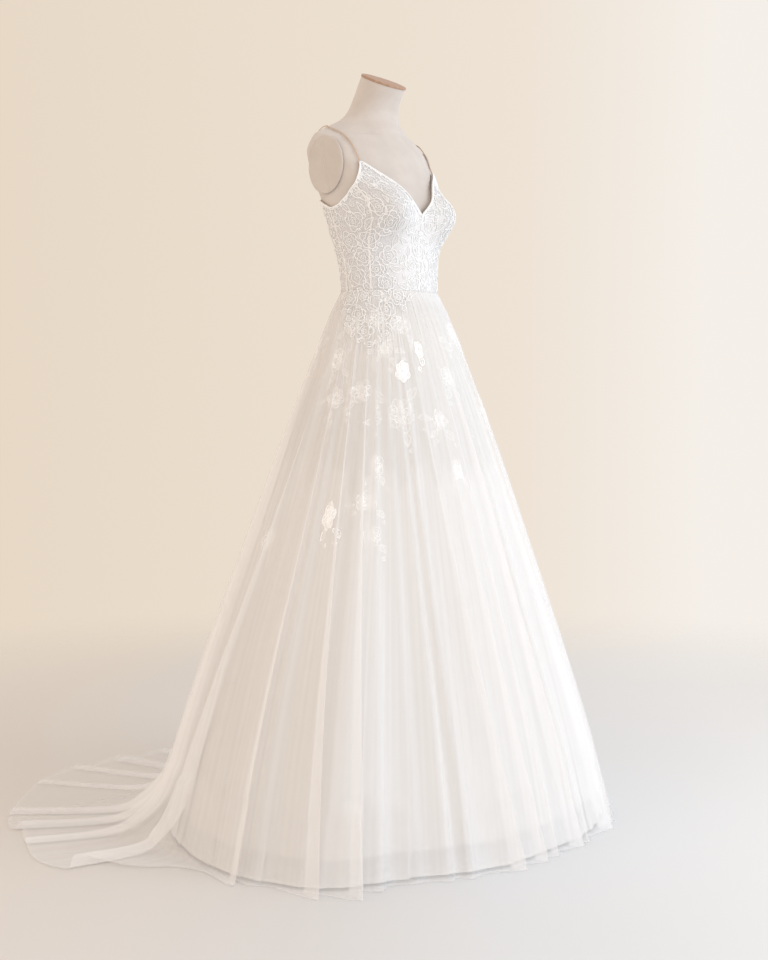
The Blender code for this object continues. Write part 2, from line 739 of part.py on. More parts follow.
def layer_point(layer, turn, height, lift):
    down = (WAIST - height) / WAIST
    inside = layer.inside_waist + layer.inside_low * smooth_step(0.0, 0.5, down)
    wave = 0.5 - 0.5 * math.cos(layer.folds * 2 * turn)
    fold = layer.fold_depth * smooth_step(0.1, 1.0, down) * wave
    return skirt_point(turn, height, lift - inside - LINING_CLOTH - fold)


def make_layers():
    """The underskirt and the lining, each two halves that meet at the side seams."""
    for layer in LAYERS:
        for start, half in ((-90, "front"), (90, "back")):
            grids = []
            for lift in (0.0, LINING_CLOTH):
                grid = []
                for i in range(LAYER_COLUMNS + 1):
                    turn = math.radians(start + 180 * i / LAYER_COLUMNS)
                    nudge = 1.0 if i == 0 else -1.0 if i == LAYER_COLUMNS else 0.0
                    line = []
                    for ring in LAYER_RINGS + (layer.hem,):
                        place = turn + nudge * SEAM_GAP / 2 / cone_point(turn, ring).length
                        point = layer_point(layer, place, ring, lift)
                        top = SEAM_GAP if ring == WAIST else 0.0
                        line.append(Vector((point.x, point.y, point.z - top)))
                    grid.append(line)
                grids.append(grid)
            wall(layer.name + "_" + half, grids[0], grids[1], LINING_IVORY)


def flower_shape(flower, base):
    """Points and faces of a five-petalled flower, made from the skirt's points, moved out."""
    centre_turn = math.radians(flower.turn_deg)
    around = cone_point(centre_turn, flower.height).length

    def on_skirt(share, angle, lift):
        a = angle + math.radians(flower.spin_deg)
        across = flower.radius * share * math.cos(a)
        up = flower.radius * share * math.sin(a)
        return skirt_point(centre_turn + across / around, flower.height + up, base + lift)

    points, faces = [], []
    for side in (0, 1):
        lift = FLOWER_CLOTH * side
        points.append(on_skirt(0.0, 0.0, lift + 0.0006 * side))
        for i in range(PETALS):
            points.append(on_skirt(0.62, 2 * math.pi * (i + 0.5) / PETALS, lift + PETAL_RISE * side))
        for i in range(PETALS * len(PETAL_EDGE)):
            angle = 2 * math.pi * i / (PETALS * len(PETAL_EDGE))
            points.append(on_skirt(PETAL_EDGE[i % len(PETAL_EDGE)], angle, lift))
    edge_count = PETALS * len(PETAL_EDGE)
    half = 1 + PETALS + edge_count
    for side in (0, 1):
        middle = side * half
        for i in range(PETALS):
            near, far = middle + 1 + i, middle + 1 + (i + 1) % PETALS
            rim = [middle + 1 + PETALS + (3 * i + n) % edge_count for n in range(4)]
            faces += [(middle, near, far), (near, rim[0], rim[1]), (near, rim[1], rim[2])]
            faces += [(near, rim[2], rim[3]), (near, rim[3], far)]
    for i in range(edge_count):
        k = (i + 1) % edge_count
        low, high = 1 + PETALS, half + 1 + PETALS
        faces += [(low + i, low + k, high + k), (low + i, high + k, high + i)]
    return points, faces


def skirt_tree():
    """A search tree over the outer skirt, on which the flowers are seated."""
    points, faces = [], []
    for gore in GORES:
        mesh = bpy.data.objects[gore.name].data
        start = len(points)
        points += [v.co.copy() for v in mesh.vertices]
        faces += [[start + i for i in face.vertices] for face in mesh.polygons]
    return BVHTree.FromPolygons(points, faces)


def make_flowers():
    """Each flower is lowered until it touches the folds, then lifted clear by its seam's gap."""
    skirt = skirt_tree()
    for k, flower in enumerate(SKIRT_FLOWERS):
        touching, clear = 0.0, 0.050
        while clear - touching > 0.00002:
            base = (touching + clear) / 2
            if skirt.overlap(BVHTree.FromPolygons(*flower_shape(flower, base))):
                touching = base
            else:
                clear = base
        points, faces = flower_shape(flower, clear + FLOWER_LIFT)
        new_object("lace_flower_%02d" % (k + 1), points, faces, LACE_WHITE)


def main():
    for old in list(bpy.data.objects):
        bpy.data.objects.remove(old, do_unlink=True)
    make_stand()
    make_form()
    make_bodice()
    make_straps()
    make_buttons()
    make_skirt()
    make_layers()
    make_flowers()


main()
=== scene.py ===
"""The looks of a tulle and lace wedding dress on its dress form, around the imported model.

Z is up, the wearer faces -Y and the wearer's left is +X. "turn" is an angle about Z from the
front towards the wearer's left; tables hold it in degrees. Lengths are in metres.
"""

import math
from collections import namedtuple

import bmesh
import bpy
import numpy as np
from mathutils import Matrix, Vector


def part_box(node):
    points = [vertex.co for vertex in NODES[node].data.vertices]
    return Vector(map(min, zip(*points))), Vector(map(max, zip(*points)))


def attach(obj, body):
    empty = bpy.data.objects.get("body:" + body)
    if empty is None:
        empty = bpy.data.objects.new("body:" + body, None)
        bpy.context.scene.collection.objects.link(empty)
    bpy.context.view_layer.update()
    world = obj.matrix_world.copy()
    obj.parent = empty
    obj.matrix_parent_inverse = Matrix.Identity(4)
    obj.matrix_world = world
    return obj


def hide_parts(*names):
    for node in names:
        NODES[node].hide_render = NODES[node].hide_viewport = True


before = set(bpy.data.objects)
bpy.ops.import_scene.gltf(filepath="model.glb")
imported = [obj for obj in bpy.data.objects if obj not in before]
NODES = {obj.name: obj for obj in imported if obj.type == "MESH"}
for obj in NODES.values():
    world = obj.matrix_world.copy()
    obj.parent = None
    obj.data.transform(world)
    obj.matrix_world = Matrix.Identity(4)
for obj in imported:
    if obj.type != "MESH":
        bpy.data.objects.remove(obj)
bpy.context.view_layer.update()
RNG = np.random.default_rng(11)

WAIST = 1.145
BODICE_CLOTH = 0.0018
CLEAR_OF_FORM = 0.0025

# ---------------------------------------------------------------- curves and small helpers


def smooth_curve(stops):
    """A smooth curve through (place, value) stops that never overshoots them."""
    x, y = np.array(sorted(stops), float).T
    step = np.diff(x)
    slope = np.diff(y) / step
    both = slope[1:] + slope[:-1]
    same_way = slope[1:] * slope[:-1] > 0
    inner = np.where(same_way, 2 * slope[1:] * slope[:-1] / np.where(same_way, both, 1.0), 0.0)
    tangent = np.concatenate(([slope[0]], inner, [slope[-1]]))

    def value(place):
        place = np.clip(place, x[0], x[-1])
        i = np.clip(np.searchsorted(x, place, side="right") - 1, 0, len(x) - 2)
        t = (place - x[i]) / step[i]
        start = (1 + 2 * t) * (1 - t) ** 2 * y[i] + t * (1 - t) ** 2 * step[i] * tangent[i]
        end = t * t * (3 - 2 * t) * y[i + 1] + t * t * (t - 1) * step[i] * tangent[i + 1]
        return start + end

    return value


def smooth_step(low, high, value):
    t = np.clip((value - low) / (high - low), 0.0, 1.0)
    return t * t * (3 - 2 * t)


def unit(vectors):
    return vectors / np.maximum(np.linalg.norm(vectors, axis=-1, keepdims=True), 1e-12)


def mesh_piece(name, points, faces, material, smooth=True):
    """A new mesh that rides on the object."""
    mesh = bpy.data.meshes.new(name)
    mesh.from_pydata(np.asarray(points).tolist(), [], np.asarray(faces).tolist())
    if smooth:
        mesh.shade_smooth()
    piece = bpy.data.objects.new(name, mesh)
    bpy.context.scene.collection.objects.link(piece)
    mesh.materials.append(material)
    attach(piece, "root")
    return piece


def grid_faces(columns, rows, start=0, wrap=False):
    """Faces of a grid of points kept as [column][row]."""
    across = np.arange(columns if wrap else columns - 1)
    i, j = np.meshgrid(across, np.arange(rows - 1), indexing="ij")
    a = i * rows + j
    b = ((i + 1) % columns) * rows + j
    return start + np.stack([a, b, b + 1, a + 1], axis=-1).reshape(-1, 4)


# ---------------------------------------------------------------- the torso

# height, half width, reach to the front and back of its middle, where that middle lies, how
# fast the reach falls towards the sides, and the forward tilt
FORM_LEVELS = (
    (0.860, 0.146, 0.094, 0.106, 0.008, 0.50, 0.50, 0),
    (0.880, 0.158, 0.102, 0.118, 0.007, 0.50, 0.50, 0),
    (0.930, 0.165, 0.108, 0.126, 0.006, 0.50, 0.50, 0),
    (1.000, 0.156, 0.103, 0.117, 0.004, 0.50, 0.50, 0),
    (1.080, 0.130, 0.090, 0.096, 0.002, 0.50, 0.48, 0),
    (1.145, 0.1155, 0.083, 0.083, 0.000, 0.50, 0.47, 0),
    (1.200, 0.118, 0.086, 0.084, 0.004, 0.50, 0.46, 0),
    (1.242, 0.1255, 0.090, 0.088, 0.010, 0.50, 0.45, 0),
    (1.300, 0.140, 0.099, 0.096, 0.017, 0.55, 0.45, 0),
    (1.340, 0.152, 0.098, 0.100, 0.023, 0.65, 0.46, 0),
    (1.395, 0.179, 0.090, 0.099, 0.033, 0.90, 0.50, 0),
    (1.440, 0.184, 0.090, 0.086, 0.050, 1.08, 0.50, 0),
    (1.475, 0.163, 0.083, 0.070, 0.060, 1.15, 0.55, 0),
    (1.492, 0.134, 0.081, 0.058, 0.067, 1.25, 0.60, 0),
    (1.507, 0.103, 0.075, 0.048, 0.067, 1.20, 0.60, 0),
    (1.520, 0.080, 0.064, 0.046, 0.061, 0.90, 0.55, 3),
    (1.535, 0.063, 0.054, 0.050, 0.054, 0.55, 0.50, 7),
    (1.552, 0.055, 0.049, 0.051, 0.046, 0.50, 0.50, 13),
    (1.578, 0.0505, 0.049, 0.049, 0.035, 0.50, 0.50, 20),
    (1.602, 0.0500, 0.050, 0.049, 0.021, 0.50, 0.50, 25),
)
HALF_WIDTH, FRONT, BACK, MIDDLE, FRONT_FALL, BACK_FALL, TILT = (
    smooth_curve([(row[0], row[k]) for row in FORM_LEVELS]) for k in range(1, 8)
)
NECK_TOP = 1.602
ARM_FACE_HEIGHT, ARM_FACE_AT, ARM_FACE_LEAN, ARM_FACE_TURN_DEG = 1.410, 0.1225, -0.05, 21
ARM_FACE_LOWEST, ARM_FACE_FADE, ARM_FACE_SOFT = 1.290, 0.055, 0.006
BUST_HEIGHT, BUST_OUT, BUST_RISE = 1.312, 0.085, 0.050
BUST_WIDTH, BUST_SIDE_WIDTH, BUST_TALL, BUST_BRIDGE = 0.050, 0.038, 0.042, 0.007


def bump(offset, width):
    return np.exp(-((offset / width) ** 2))


def form_point(turn_deg, height, bridge=0.0):
    """Points of the form's surface; a bridge widens the bust, as cloth does that spans it."""
    across, ahead = np.sin(np.radians(turn_deg)), np.cos(np.radians(turn_deg))
    x = HALF_WIDTH(height) * across
    front = FRONT(height) * np.maximum(ahead, 0.0) ** (2 * FRONT_FALL(height))
    wide = np.where(np.abs(x) < BUST_OUT, BUST_WIDTH, BUST_SIDE_WIDTH) + bridge
    rise = bump(x - BUST_OUT, wide) + bump(x + BUST_OUT, wide)
    rise = rise * bump(height - BUST_HEIGHT, BUST_TALL + bridge)
    front = front + BUST_RISE * rise * smooth_step(0.0, 0.6, ahead)
    back = -BACK(height) * np.maximum(-ahead, 0.0) ** (2 * BACK_FALL(height))
    reach = np.where(ahead >= 0, front, back)
    tilt = np.radians(TILT(height))
    y = MIDDLE(height) - reach * np.cos(tilt)
    face_turn = math.radians(ARM_FACE_TURN_DEG)
    face_x, face_y = math.cos(face_turn), -math.sin(face_turn)
    below = 1 - smooth_step(ARM_FACE_LOWEST, ARM_FACE_LOWEST + ARM_FACE_FADE, height)
    face_at = ARM_FACE_AT + ARM_FACE_LEAN * (height - ARM_FACE_HEIGHT) + 0.020 * below
    over = np.abs(x) * face_x + y * face_y - face_at - bridge / 4
    over = (over + np.hypot(over, ARM_FACE_SOFT)) / 2
    x = x - np.copysign(over * face_x, x)
    return np.stack([x, y - over * face_y, height - reach * np.sin(tilt)], axis=-1)


def over_form(turn_deg, height, lift=0.0, bridge=0.0):
    """Points that lie a lift above the form's surface, and the way out there."""
    turn_deg, height = np.broadcast_arrays(np.asarray(turn_deg, float), np.asarray(height, float))
    along = form_point(turn_deg + 0.6, height, bridge) - form_point(turn_deg - 0.6, height, bridge)
    up = form_point(turn_deg, height + 0.003, bridge) - form_point(turn_deg, height - 0.003, bridge)
    normal = unit(np.cross(along, up))
    return form_point(turn_deg, height, bridge) + normal * np.asarray(lift)[..., None], normal


BODICE_OUT = CLEAR_OF_FORM + BODICE_CLOTH


def torso_point(turn_deg, height, lift=0.0):
    """Points on the bodice's outside, moved out by a lift."""
    return over_form(turn_deg, height, BODICE_OUT + np.asarray(lift), BUST_BRIDGE)


TOP_OF_BODICE = smooth_curve(
    [
        (0, 1.305), (11, 1.331), (20, 1.368), (30, 1.397), (37.5, 1.412), (39.5, 1.401), (43, 1.386),
        (50, 1.369), (61, 1.353), (72, 1.335), (82, 1.323), (93, 1.320), (103, 1.328), (115, 1.338),
        (136, 1.345), (160, 1.318), (180, 1.296),
    ]
)


def top_edge(turn_deg):
    return TOP_OF_BODICE(np.abs((np.asarray(turn_deg) + 180) % 360 - 180))


# ---------------------------------------------------------------- the skirt's own surface

CONE_RADIUS = smooth_curve(
    [
        (1.145, 0.1040), (1.100, 0.1240), (1.010, 0.1600), (0.850, 0.2180),
        (0.600, 0.2990), (0.300, 0.3910), (0.150, 0.4330), (0.000, 0.4670),
    ]
)
CONE_START, CONE_END = 0.1040, 0.4670
WAIST_HALF_WIDE, WAIST_HALF_DEEP = 0.1200, 0.0875
# turn, reach of the skirt above the floor, reach of its hem
REACH = (
    (-180, 0.484, 0.745), (-165, 0.486, 0.815), (-152, 0.488, 0.852), (-140, 0.490, 0.855),
    (-125, 0.492, 0.815), (-112, 0.497, 0.782), (-102, 0.506, 0.740), (-92, 0.520, 0.560),
    (-75, 0.535, 0.535), (-60, 0.535, 0.535), (-50, 0.500, 0.500), (-40, 0.458, 0.458),
    (-15, 0.446, 0.446), (0, 0.434, 0.434), (20, 0.450, 0.450), (45, 0.472, 0.472),
    (75, 0.485, 0.485), (92, 0.500, 0.545), (105, 0.496, 0.640), (120, 0.490, 0.705),
    (135, 0.486, 0.750), (150, 0.484, 0.770), (165, 0.484, 0.765), (180, 0.484, 0.745),
)
HEM_REACH = smooth_curve([(turn, cone) for turn, cone, train in REACH])
TRAIN_REACH = smooth_curve([(turn, train) for turn, cone, train in REACH])
GROWTH = smooth_curve([(1.145, 0.0), (1.100, 0.06), (0.850, 0.28), (0.600, 0.47), (0.300, 0.74), (0.0, 1.0)])
TRAIN_STARTS, TRAIN_FULL = 92, 108


def skirt_flat(turn_deg, height, out):
    """x and y of the skirt at a turn and height, moved out level from its valleys."""
    deg = (turn_deg + 180) % 360 - 180
    stretch = (HEM_REACH(deg) - CONE_START) / (CONE_END - CONE_START)
    down = (WAIST - height) / WAIST
    radius = CONE_START + (CONE_RADIUS(height) - CONE_START) * (1 + (stretch - 1) * smooth_step(0, 1, down * 1.4))
    pull = (1 - down) ** 2
    turn = np.radians(turn_deg)
    part = radius - CONE_START * pull + out
    x = np.sin(turn) * (part + WAIST_HALF_WIDE * pull)
    y = -np.cos(turn) * (part + WAIST_HALF_DEEP * pull)
    return x, y


def skirt_radius(turn_deg, height):
    return np.hypot(*skirt_flat(turn_deg, height, 0.0))


# Folds of the outer tulle: where each starts at the waist and ends at the hem, how deep it is as
# a share of the deepest, how wide, and how far its crest lies over to one side.
Fold = namedtuple("Fold", "waist_deg hem_deg size wide_deg lean_deg")
PHOTO_FOLDS = (
    Fold(-85, -99, 1.00, 2.3, -7.0),
    Fold(-80, -83, 0.85, 2.0, 6.5),
    Fold(-75, -74, 0.35, 2.4, 0.0),
    Fold(-70, -66, 1.05, 2.0, 7.5),
    Fold(-60, -57, 0.95, 1.8, 6.6),
    Fold(-52, -49, 0.40, 2.2, 2.0),
    Fold(-45, -41, 0.42, 3.0, 1.5),
    Fold(-39, -33, 0.40, 2.6, 2.0),
    Fold(-34, -26, 0.50, 2.2, 0.0),
    Fold(-29, -17, 0.80, 1.8, 5.5),
    Fold(-18, -8, 0.72, 1.7, 5.0),
    Fold(-8, -1, 0.60, 1.7, 3.0),
    Fold(0, 7, 0.85, 1.7, 5.6),
    Fold(8, 16, 0.55, 1.9, 0.0),
    Fold(16, 24, 0.90, 1.8, 5.6),
    Fold(26, 33, 0.60, 2.0, 1.5),
)
LARGEST_FOLD = 0.034
FOLD_SPACING = 8.2


def other_folds():
    """The folds that the photo doesn't show, as uneven as the ones it does."""
    folds = []
    turn = PHOTO_FOLDS[-1].hem_deg + FOLD_SPACING
    end = PHOTO_FOLDS[0].hem_deg + 360 - FOLD_SPACING * 0.7
    while turn < end:
        size = RNG.uniform(0.40, 1.0)
        lean = RNG.choice([-1, 1]) * RNG.uniform(3.5, 6.5) if size > 0.62 else 0.0
        folds.append(Fold(turn + RNG.uniform(-2, 2), turn, size, RNG.uniform(1.5, 2.2), lean))
        turn += FOLD_SPACING * RNG.uniform(0.8, 1.2)
    return folds


Layer = namedtuple("Layer", "hem_deg waist_shift size wide lean deepest inside gather hem_up train_share")


def make_layer(folds, deepest, inside, gather, hem_up, train_share):
    folds = sorted(folds, key=lambda f: f.hem_deg)
    columns = np.array(folds, float).T
    shift = columns[0] - columns[1]
    return Layer(columns[1], shift, columns[2], columns[3], columns[4], deepest, inside, gather, hem_up, train_share)


def even_folds(count, low, high, lean):
    """A ring of uneven folds for a layer that lies inside."""
    folds = []
    for k in range(count):
        turn = -180 + 360 * (k + RNG.uniform(-0.28, 0.28)) / count
        size = RNG.uniform(low, high)
        folds.append(
            Fold(turn + RNG.uniform(-2, 2), turn, size, RNG.uniform(1.2, 2.2), RNG.choice([-1, 1]) * lean * size)
        )
    return folds


def fold_shape(layer, turn_deg, height):
    """How far the cloth stands out and slides round at a turn (named at the hem) and height."""
    growth = GROWTH(height)
    slide_growth = np.sqrt(growth)
    deg = turn_deg[..., None]
    apart = (deg - layer.hem_deg + 180) % 360 - 180
    near = np.exp(-((apart / layer.wide) ** 2))
    out = layer.deepest * growth * (near * layer.size).sum(-1)
    around = np.concatenate([layer.hem_deg[-1:] - 360, layer.hem_deg, layer.hem_deg[:1] + 360])
    shifts = np.concatenate([layer.waist_shift[-1:], layer.waist_shift, layer.waist_shift[:1]])
    place = (turn_deg - around[0]) % 360 + around[0]
    slide = np.interp(place, around, shifts) * (height / WAIST) + slide_growth * (near * layer.lean).sum(-1)
    ripple = np.radians(turn_deg)
    soft = np.sin(23 * ripple + 1.7 * np.sin(5 * ripple)) * np.sin(9 * ripple + 2.0 * np.sin(2 * ripple))
    out = out + 0.10 * layer.deepest * growth * (1 + soft)
    pleat = np.sin(96 * ripple + 2.4 * np.sin(11 * ripple)) + 0.6 * np.sin(151 * ripple + 3.0 * np.sin(7 * ripple))
    out = out + layer.gather * (1.6 + pleat) * smooth_step(0.90, 1.12, height) * (0.4 + 0.6 * smooth_step(1.15, 1.12, height))
    return out - layer.inside * smooth_step(1.145, 1.05, height), slide


def layer_point(layer, turn_deg, height, lift=0.0):
    """Points of a layer above the place where it bends on to the floor."""
    turn_deg, height = np.broadcast_arrays(np.asarray(turn_deg, float), np.asarray(height, float))
    out, slide = fold_shape(layer, turn_deg, height)
    x, y = skirt_flat(turn_deg + slide, height, out + lift)
    return np.stack([x, y, height], axis=-1)


BEND_HEIGHT = 0.150
UPPER_ROWS = 46
LOWER_ROWS = 22
# Height, extra reach and lean of the folds where the back of the skirt bends on to the floor
BEND = ((0.150, 0.0, 0), (0.075, 0.016, 30), (0.026, 0.060, 62), (0.003, 0.125, 90))


def through(stops, count):
    """Points on a smooth line through a few stops, given as [stop, column, value]."""
    stops = np.concatenate([2 * stops[:1] - stops[1:2], stops, 2 * stops[-1:] - stops[-2:-1]])
    where = np.linspace(0, len(stops) - 3 - 1e-6, count)
    lines = []
    for place in where:
        k, t = int(place), place - int(place)
        a, b, c, d = stops[k:k + 4]
        lines.append(
            0.5 * (2 * b + (c - a) * t + (2 * a - 5 * b + 4 * c - d) * t * t + (3 * b - a - 3 * c + d) * t ** 3)
        )
    return np.array(lines)


def layer_grid(layer, turns_deg):
    """All points of a layer, waist to hem, for columns named by their turn at the hem."""
    share = np.linspace(0, 1, UPPER_ROWS) ** 0.85
    heights = WAIST - 0.0003 - (WAIST - 0.0003 - BEND_HEIGHT) * share
    upper = layer_point(layer, turns_deg[:, None], heights[None, :])
    deg = (turns_deg + 180) % 360 - 180
    full = smooth_step(TRAIN_STARTS, TRAIN_FULL, np.abs(deg)) * min(layer.train_share * 4, 1.0)
    _, slide = fold_shape(layer, turns_deg, np.full_like(turns_deg, BEND_HEIGHT))
    out, slide_low = fold_shape(layer, turns_deg, np.zeros_like(turns_deg))
    stops = []
    for height, spread, lean in BEND:
        lift = height + layer.hem_up * (1 - height / BEND_HEIGHT)
        stops.append(np.stack([skirt_radius(turns_deg, max(height, 0.0)) + spread * (0.02 + 0.98 * full),
                               np.full_like(turns_deg, lift), lean * full], axis=-1))
    landed = stops[-1][:, 0]
    hem = np.maximum(landed + (TRAIN_REACH(deg) - landed) * layer.train_share, landed + 0.004)
    wobble = 0.010 * np.sin(np.radians(turns_deg) * 13 + 2 * np.sin(np.radians(turns_deg) * 3))
    stops.append(np.stack([hem + wobble * full, stops[-1][:, 1], 90 * full], axis=-1))
    if layer.hem_up > 0.004:
        stops[-1][:, 0] = landed + 0.001
    line = through(np.array(stops), LOWER_ROWS + 1)[1:]
    ease = np.linspace(0, 1, LOWER_ROWS + 1)[1:, None]
    lean = np.radians(line[..., 2])
    out_here = fold_shape(layer, turns_deg, np.full_like(turns_deg, BEND_HEIGHT))[0]
    rise = (out_here + (out - out_here) * np.minimum(ease * 2, 1)) * (1 - 0.60 * line[..., 2] / 90)
    rise = rise * (1 - 0.5 * smooth_step(0.6, 1.0, ease) * full)
    rise = np.where(line[..., 2] > 45, np.maximum(rise, 0.0012), rise)
    reach = line[..., 0] + rise * np.cos(lean)
    height = np.maximum(line[..., 1] + rise * np.sin(lean), 0.0015)
    turn = np.radians(turns_deg + slide + (slide_low - slide) * np.minimum(ease * 2, 1) * (1 - 0.6 * full))
    lower = np.stack([reach * np.sin(turn), -reach * np.cos(turn), height], axis=-1).transpose(1, 0, 2)
    return np.concatenate([upper, lower], axis=1)


def fold_columns(layer, start_deg, end_deg, coarse):
    """Turns of the columns of a gore, closer together where a fold is sharp."""
    fine = np.linspace(start_deg, end_deg, 4000)
    apart = (fine[:, None] - layer.hem_deg + 180) % 360 - 180
    density = 1 + ((np.abs(layer.lean) * 0.55 + 0.5) * np.exp(-((apart / layer.wide / 1.25) ** 2))).sum(-1)
    total = np.concatenate([[0], np.cumsum((density[1:] + density[:-1]) / 2 * np.diff(fine))])
    count = max(int(total[-1] / coarse), 8)
    return np.interp(np.linspace(0, total[-1], count + 1), total, fine)


# ---------------------------------------------------------------- materials


def new_material(name):
    made = bpy.data.materials.new(name)
    made.use_nodes = True
    return made, made.node_tree, made.node_tree.nodes["Principled BSDF"]


def node(tree, kind, **values):
    made = tree.nodes.new(kind)
    for key, value in values.items():
        if key in made.inputs:
            made.inputs[key].default_value = value
        else:
            setattr(made, key, value)
    return made


def mottled(tree, shader, colour, other, scale, detail=3.0):
    """Colour that wanders softly between two, over the object's own space."""
    place = node(tree, "ShaderNodeTexCoord")
    noise = node(tree, "ShaderNodeTexNoise", Scale=scale, Detail=detail)
    ramp = node(tree, "ShaderNodeValToRGB")
    ramp.color_ramp.elements[0].position = 0.35
    ramp.color_ramp.elements[1].position = 0.65
    ramp.color_ramp.elements[0].color = (*colour, 1)
    ramp.color_ramp.elements[1].color = (*other, 1)
    tree.links.new(place.outputs["Object"], noise.inputs["Vector"])
    tree.links.new(noise.outputs["Fac"], ramp.inputs["Fac"])
    tree.links.new(ramp.outputs["Color"], shader.inputs["Base Color"])
    return place, ramp


def add_bump(tree, shader, height_socket, strength, distance):
    bump = node(tree, "ShaderNodeBump", Strength=strength, Distance=distance)
    tree.links.new(height_socket, bump.inputs["Height"])
    tree.links.new(bump.outputs["Normal"], shader.inputs["Normal"])
    return bump


STREAKS_PER_RADIAN, STREAKS_PER_METRE, STREAK_SHARE = 30.0, 0.8, 0.06


def sheer_material(name, colour, other, alpha, at_hem, roughness=0.8, sheen=0.3):
    """Fine net, too fine for its holes to show: see-through, denser in streaks that run down it."""
    made, tree, shader = new_material(name)
    place = node(tree, "ShaderNodeTexCoord")
    parts = node(tree, "ShaderNodeSeparateXYZ")
    turn = node(tree, "ShaderNodeMath", operation="ARCTAN2")
    across = node(tree, "ShaderNodeMath", operation="MULTIPLY")
    across.inputs[1].default_value = STREAKS_PER_RADIAN
    along = node(tree, "ShaderNodeMath", operation="MULTIPLY")
    along.inputs[1].default_value = STREAKS_PER_METRE
    where = node(tree, "ShaderNodeCombineXYZ")
    noise = node(tree, "ShaderNodeTexNoise", Scale=1.0, Detail=1.0)
    mix = node(tree, "ShaderNodeMix", data_type="RGBA")
    mix.inputs[6].default_value = (*colour, 1)
    mix.inputs[7].default_value = (*other, 1)
    streak = node(tree, "ShaderNodeMapRange")
    streak.inputs["From Min"].default_value = 0.3
    streak.inputs["From Max"].default_value = 0.7
    streak.inputs["To Min"].default_value = 1 - STREAK_SHARE
    streak.inputs["To Max"].default_value = 1 + STREAK_SHARE
    dense = node(tree, "ShaderNodeMapRange", interpolation_type="SMOOTHSTEP")
    dense.inputs["From Min"].default_value = -0.02
    dense.inputs["From Max"].default_value = 0.45
    dense.inputs["To Min"].default_value = at_hem
    dense.inputs["To Max"].default_value = alpha
    thin = node(tree, "ShaderNodeMapRange", interpolation_type="SMOOTHSTEP")
    thin.inputs["From Min"].default_value = 0.34
    thin.inputs["From Max"].default_value = 0.72
    thin.inputs["To Min"].default_value = 1.0
    thin.inputs["To Max"].default_value = 0.40
    product = node(tree, "ShaderNodeMath", operation="MULTIPLY")
    share = node(tree, "ShaderNodeMath", operation="MULTIPLY")
    tree.links.new(place.outputs["Object"], parts.inputs["Vector"])
    tree.links.new(parts.outputs["X"], turn.inputs[0])
    tree.links.new(parts.outputs["Y"], turn.inputs[1])
    tree.links.new(turn.outputs["Value"], across.inputs[0])
    tree.links.new(parts.outputs["Z"], along.inputs[0])
    tree.links.new(across.outputs["Value"], where.inputs["X"])
    tree.links.new(along.outputs["Value"], where.inputs["Y"])
    tree.links.new(where.outputs["Vector"], noise.inputs["Vector"])
    tree.links.new(noise.outputs["Fac"], mix.inputs[0])
    tree.links.new(mix.outputs[2], shader.inputs["Base Color"])
    tree.links.new(noise.outputs["Fac"], streak.inputs["Value"])
    tree.links.new(parts.outputs["Z"], dense.inputs["Value"])
    tree.links.new(streak.outputs["Result"], product.inputs[0])
    tree.links.new(dense.outputs["Result"], product.inputs[1])
    tree.links.new(parts.outputs["Y"], thin.inputs["Value"])
    tree.links.new(product.outputs["Value"], share.inputs[0])
    tree.links.new(thin.outputs["Result"], share.inputs[1])
    tree.links.new(share.outputs["Value"], shader.inputs["Alpha"])
    shader.inputs["Roughness"].default_value = roughness
    shader.inputs["Sheen Weight"].default_value = sheen
    shader.inputs["Sheen Roughness"].default_value = 0.5
    shader.inputs["Specular IOR Level"].default_value = 0.0
    return made


def woven_material(name, colour, other, thread, roughness, sheen=0.0, strength=0.3):
    """Plain weave: two sets of threads that cross."""
    made, tree, shader = new_material(name)
    place, ramp = mottled(tree, shader, colour, other, 24.0, 5.0)
    heights = []
    for direction in ("X", "Z"):
        wave = node(tree, "ShaderNodeTexWave", Scale=1 / thread / 6.28, Distortion=0.6)
        wave.bands_direction = direction
        tree.links.new(place.outputs["Object"], wave.inputs["Vector"])
        heights.append(wave.outputs["Fac"])
    join = node(tree, "ShaderNodeMath", operation="MULTIPLY")
    tree.links.new(heights[0], join.inputs[0])
    tree.links.new(heights[1], join.inputs[1])
    add_bump(tree, shader, join.outputs["Value"], strength, 0.0004)
    shader.inputs["Roughness"].default_value = roughness
    shader.inputs["Sheen Weight"].default_value = sheen
    shader.inputs["Specular IOR Level"].default_value = 0.2
    return made


def cord_material(name, colour, other, alpha=1.0):
    """Twisted white thread; a faint one is a fine, open stitch."""
    made, tree, shader = new_material(name)
    place, ramp = mottled(tree, shader, colour, other, 90.0)
    wave = node(tree, "ShaderNodeTexWave", Scale=210.0, Distortion=2.0)
    wave.bands_direction = "DIAGONAL"
    tree.links.new(place.outputs["Object"], wave.inputs["Vector"])
    add_bump(tree, shader, wave.outputs["Fac"], 0.15, 0.0003)
    shader.inputs["Alpha"].default_value = alpha
    shader.inputs["Roughness"].default_value = 0.62
    shader.inputs["Sheen Weight"].default_value = 0.25
    shader.inputs["Specular IOR Level"].default_value = 0.25
    return made


def petal_material(name, alpha):
    """Stiff fine organza between the cords of a lace motif."""
    made = woven_material(name, (0.97, 0.96, 0.95), (0.99, 0.985, 0.98), 0.0006, 0.7, 0.4, 0.08)
    made.node_tree.nodes["Principled BSDF"].inputs["Alpha"].default_value = alpha
    return made


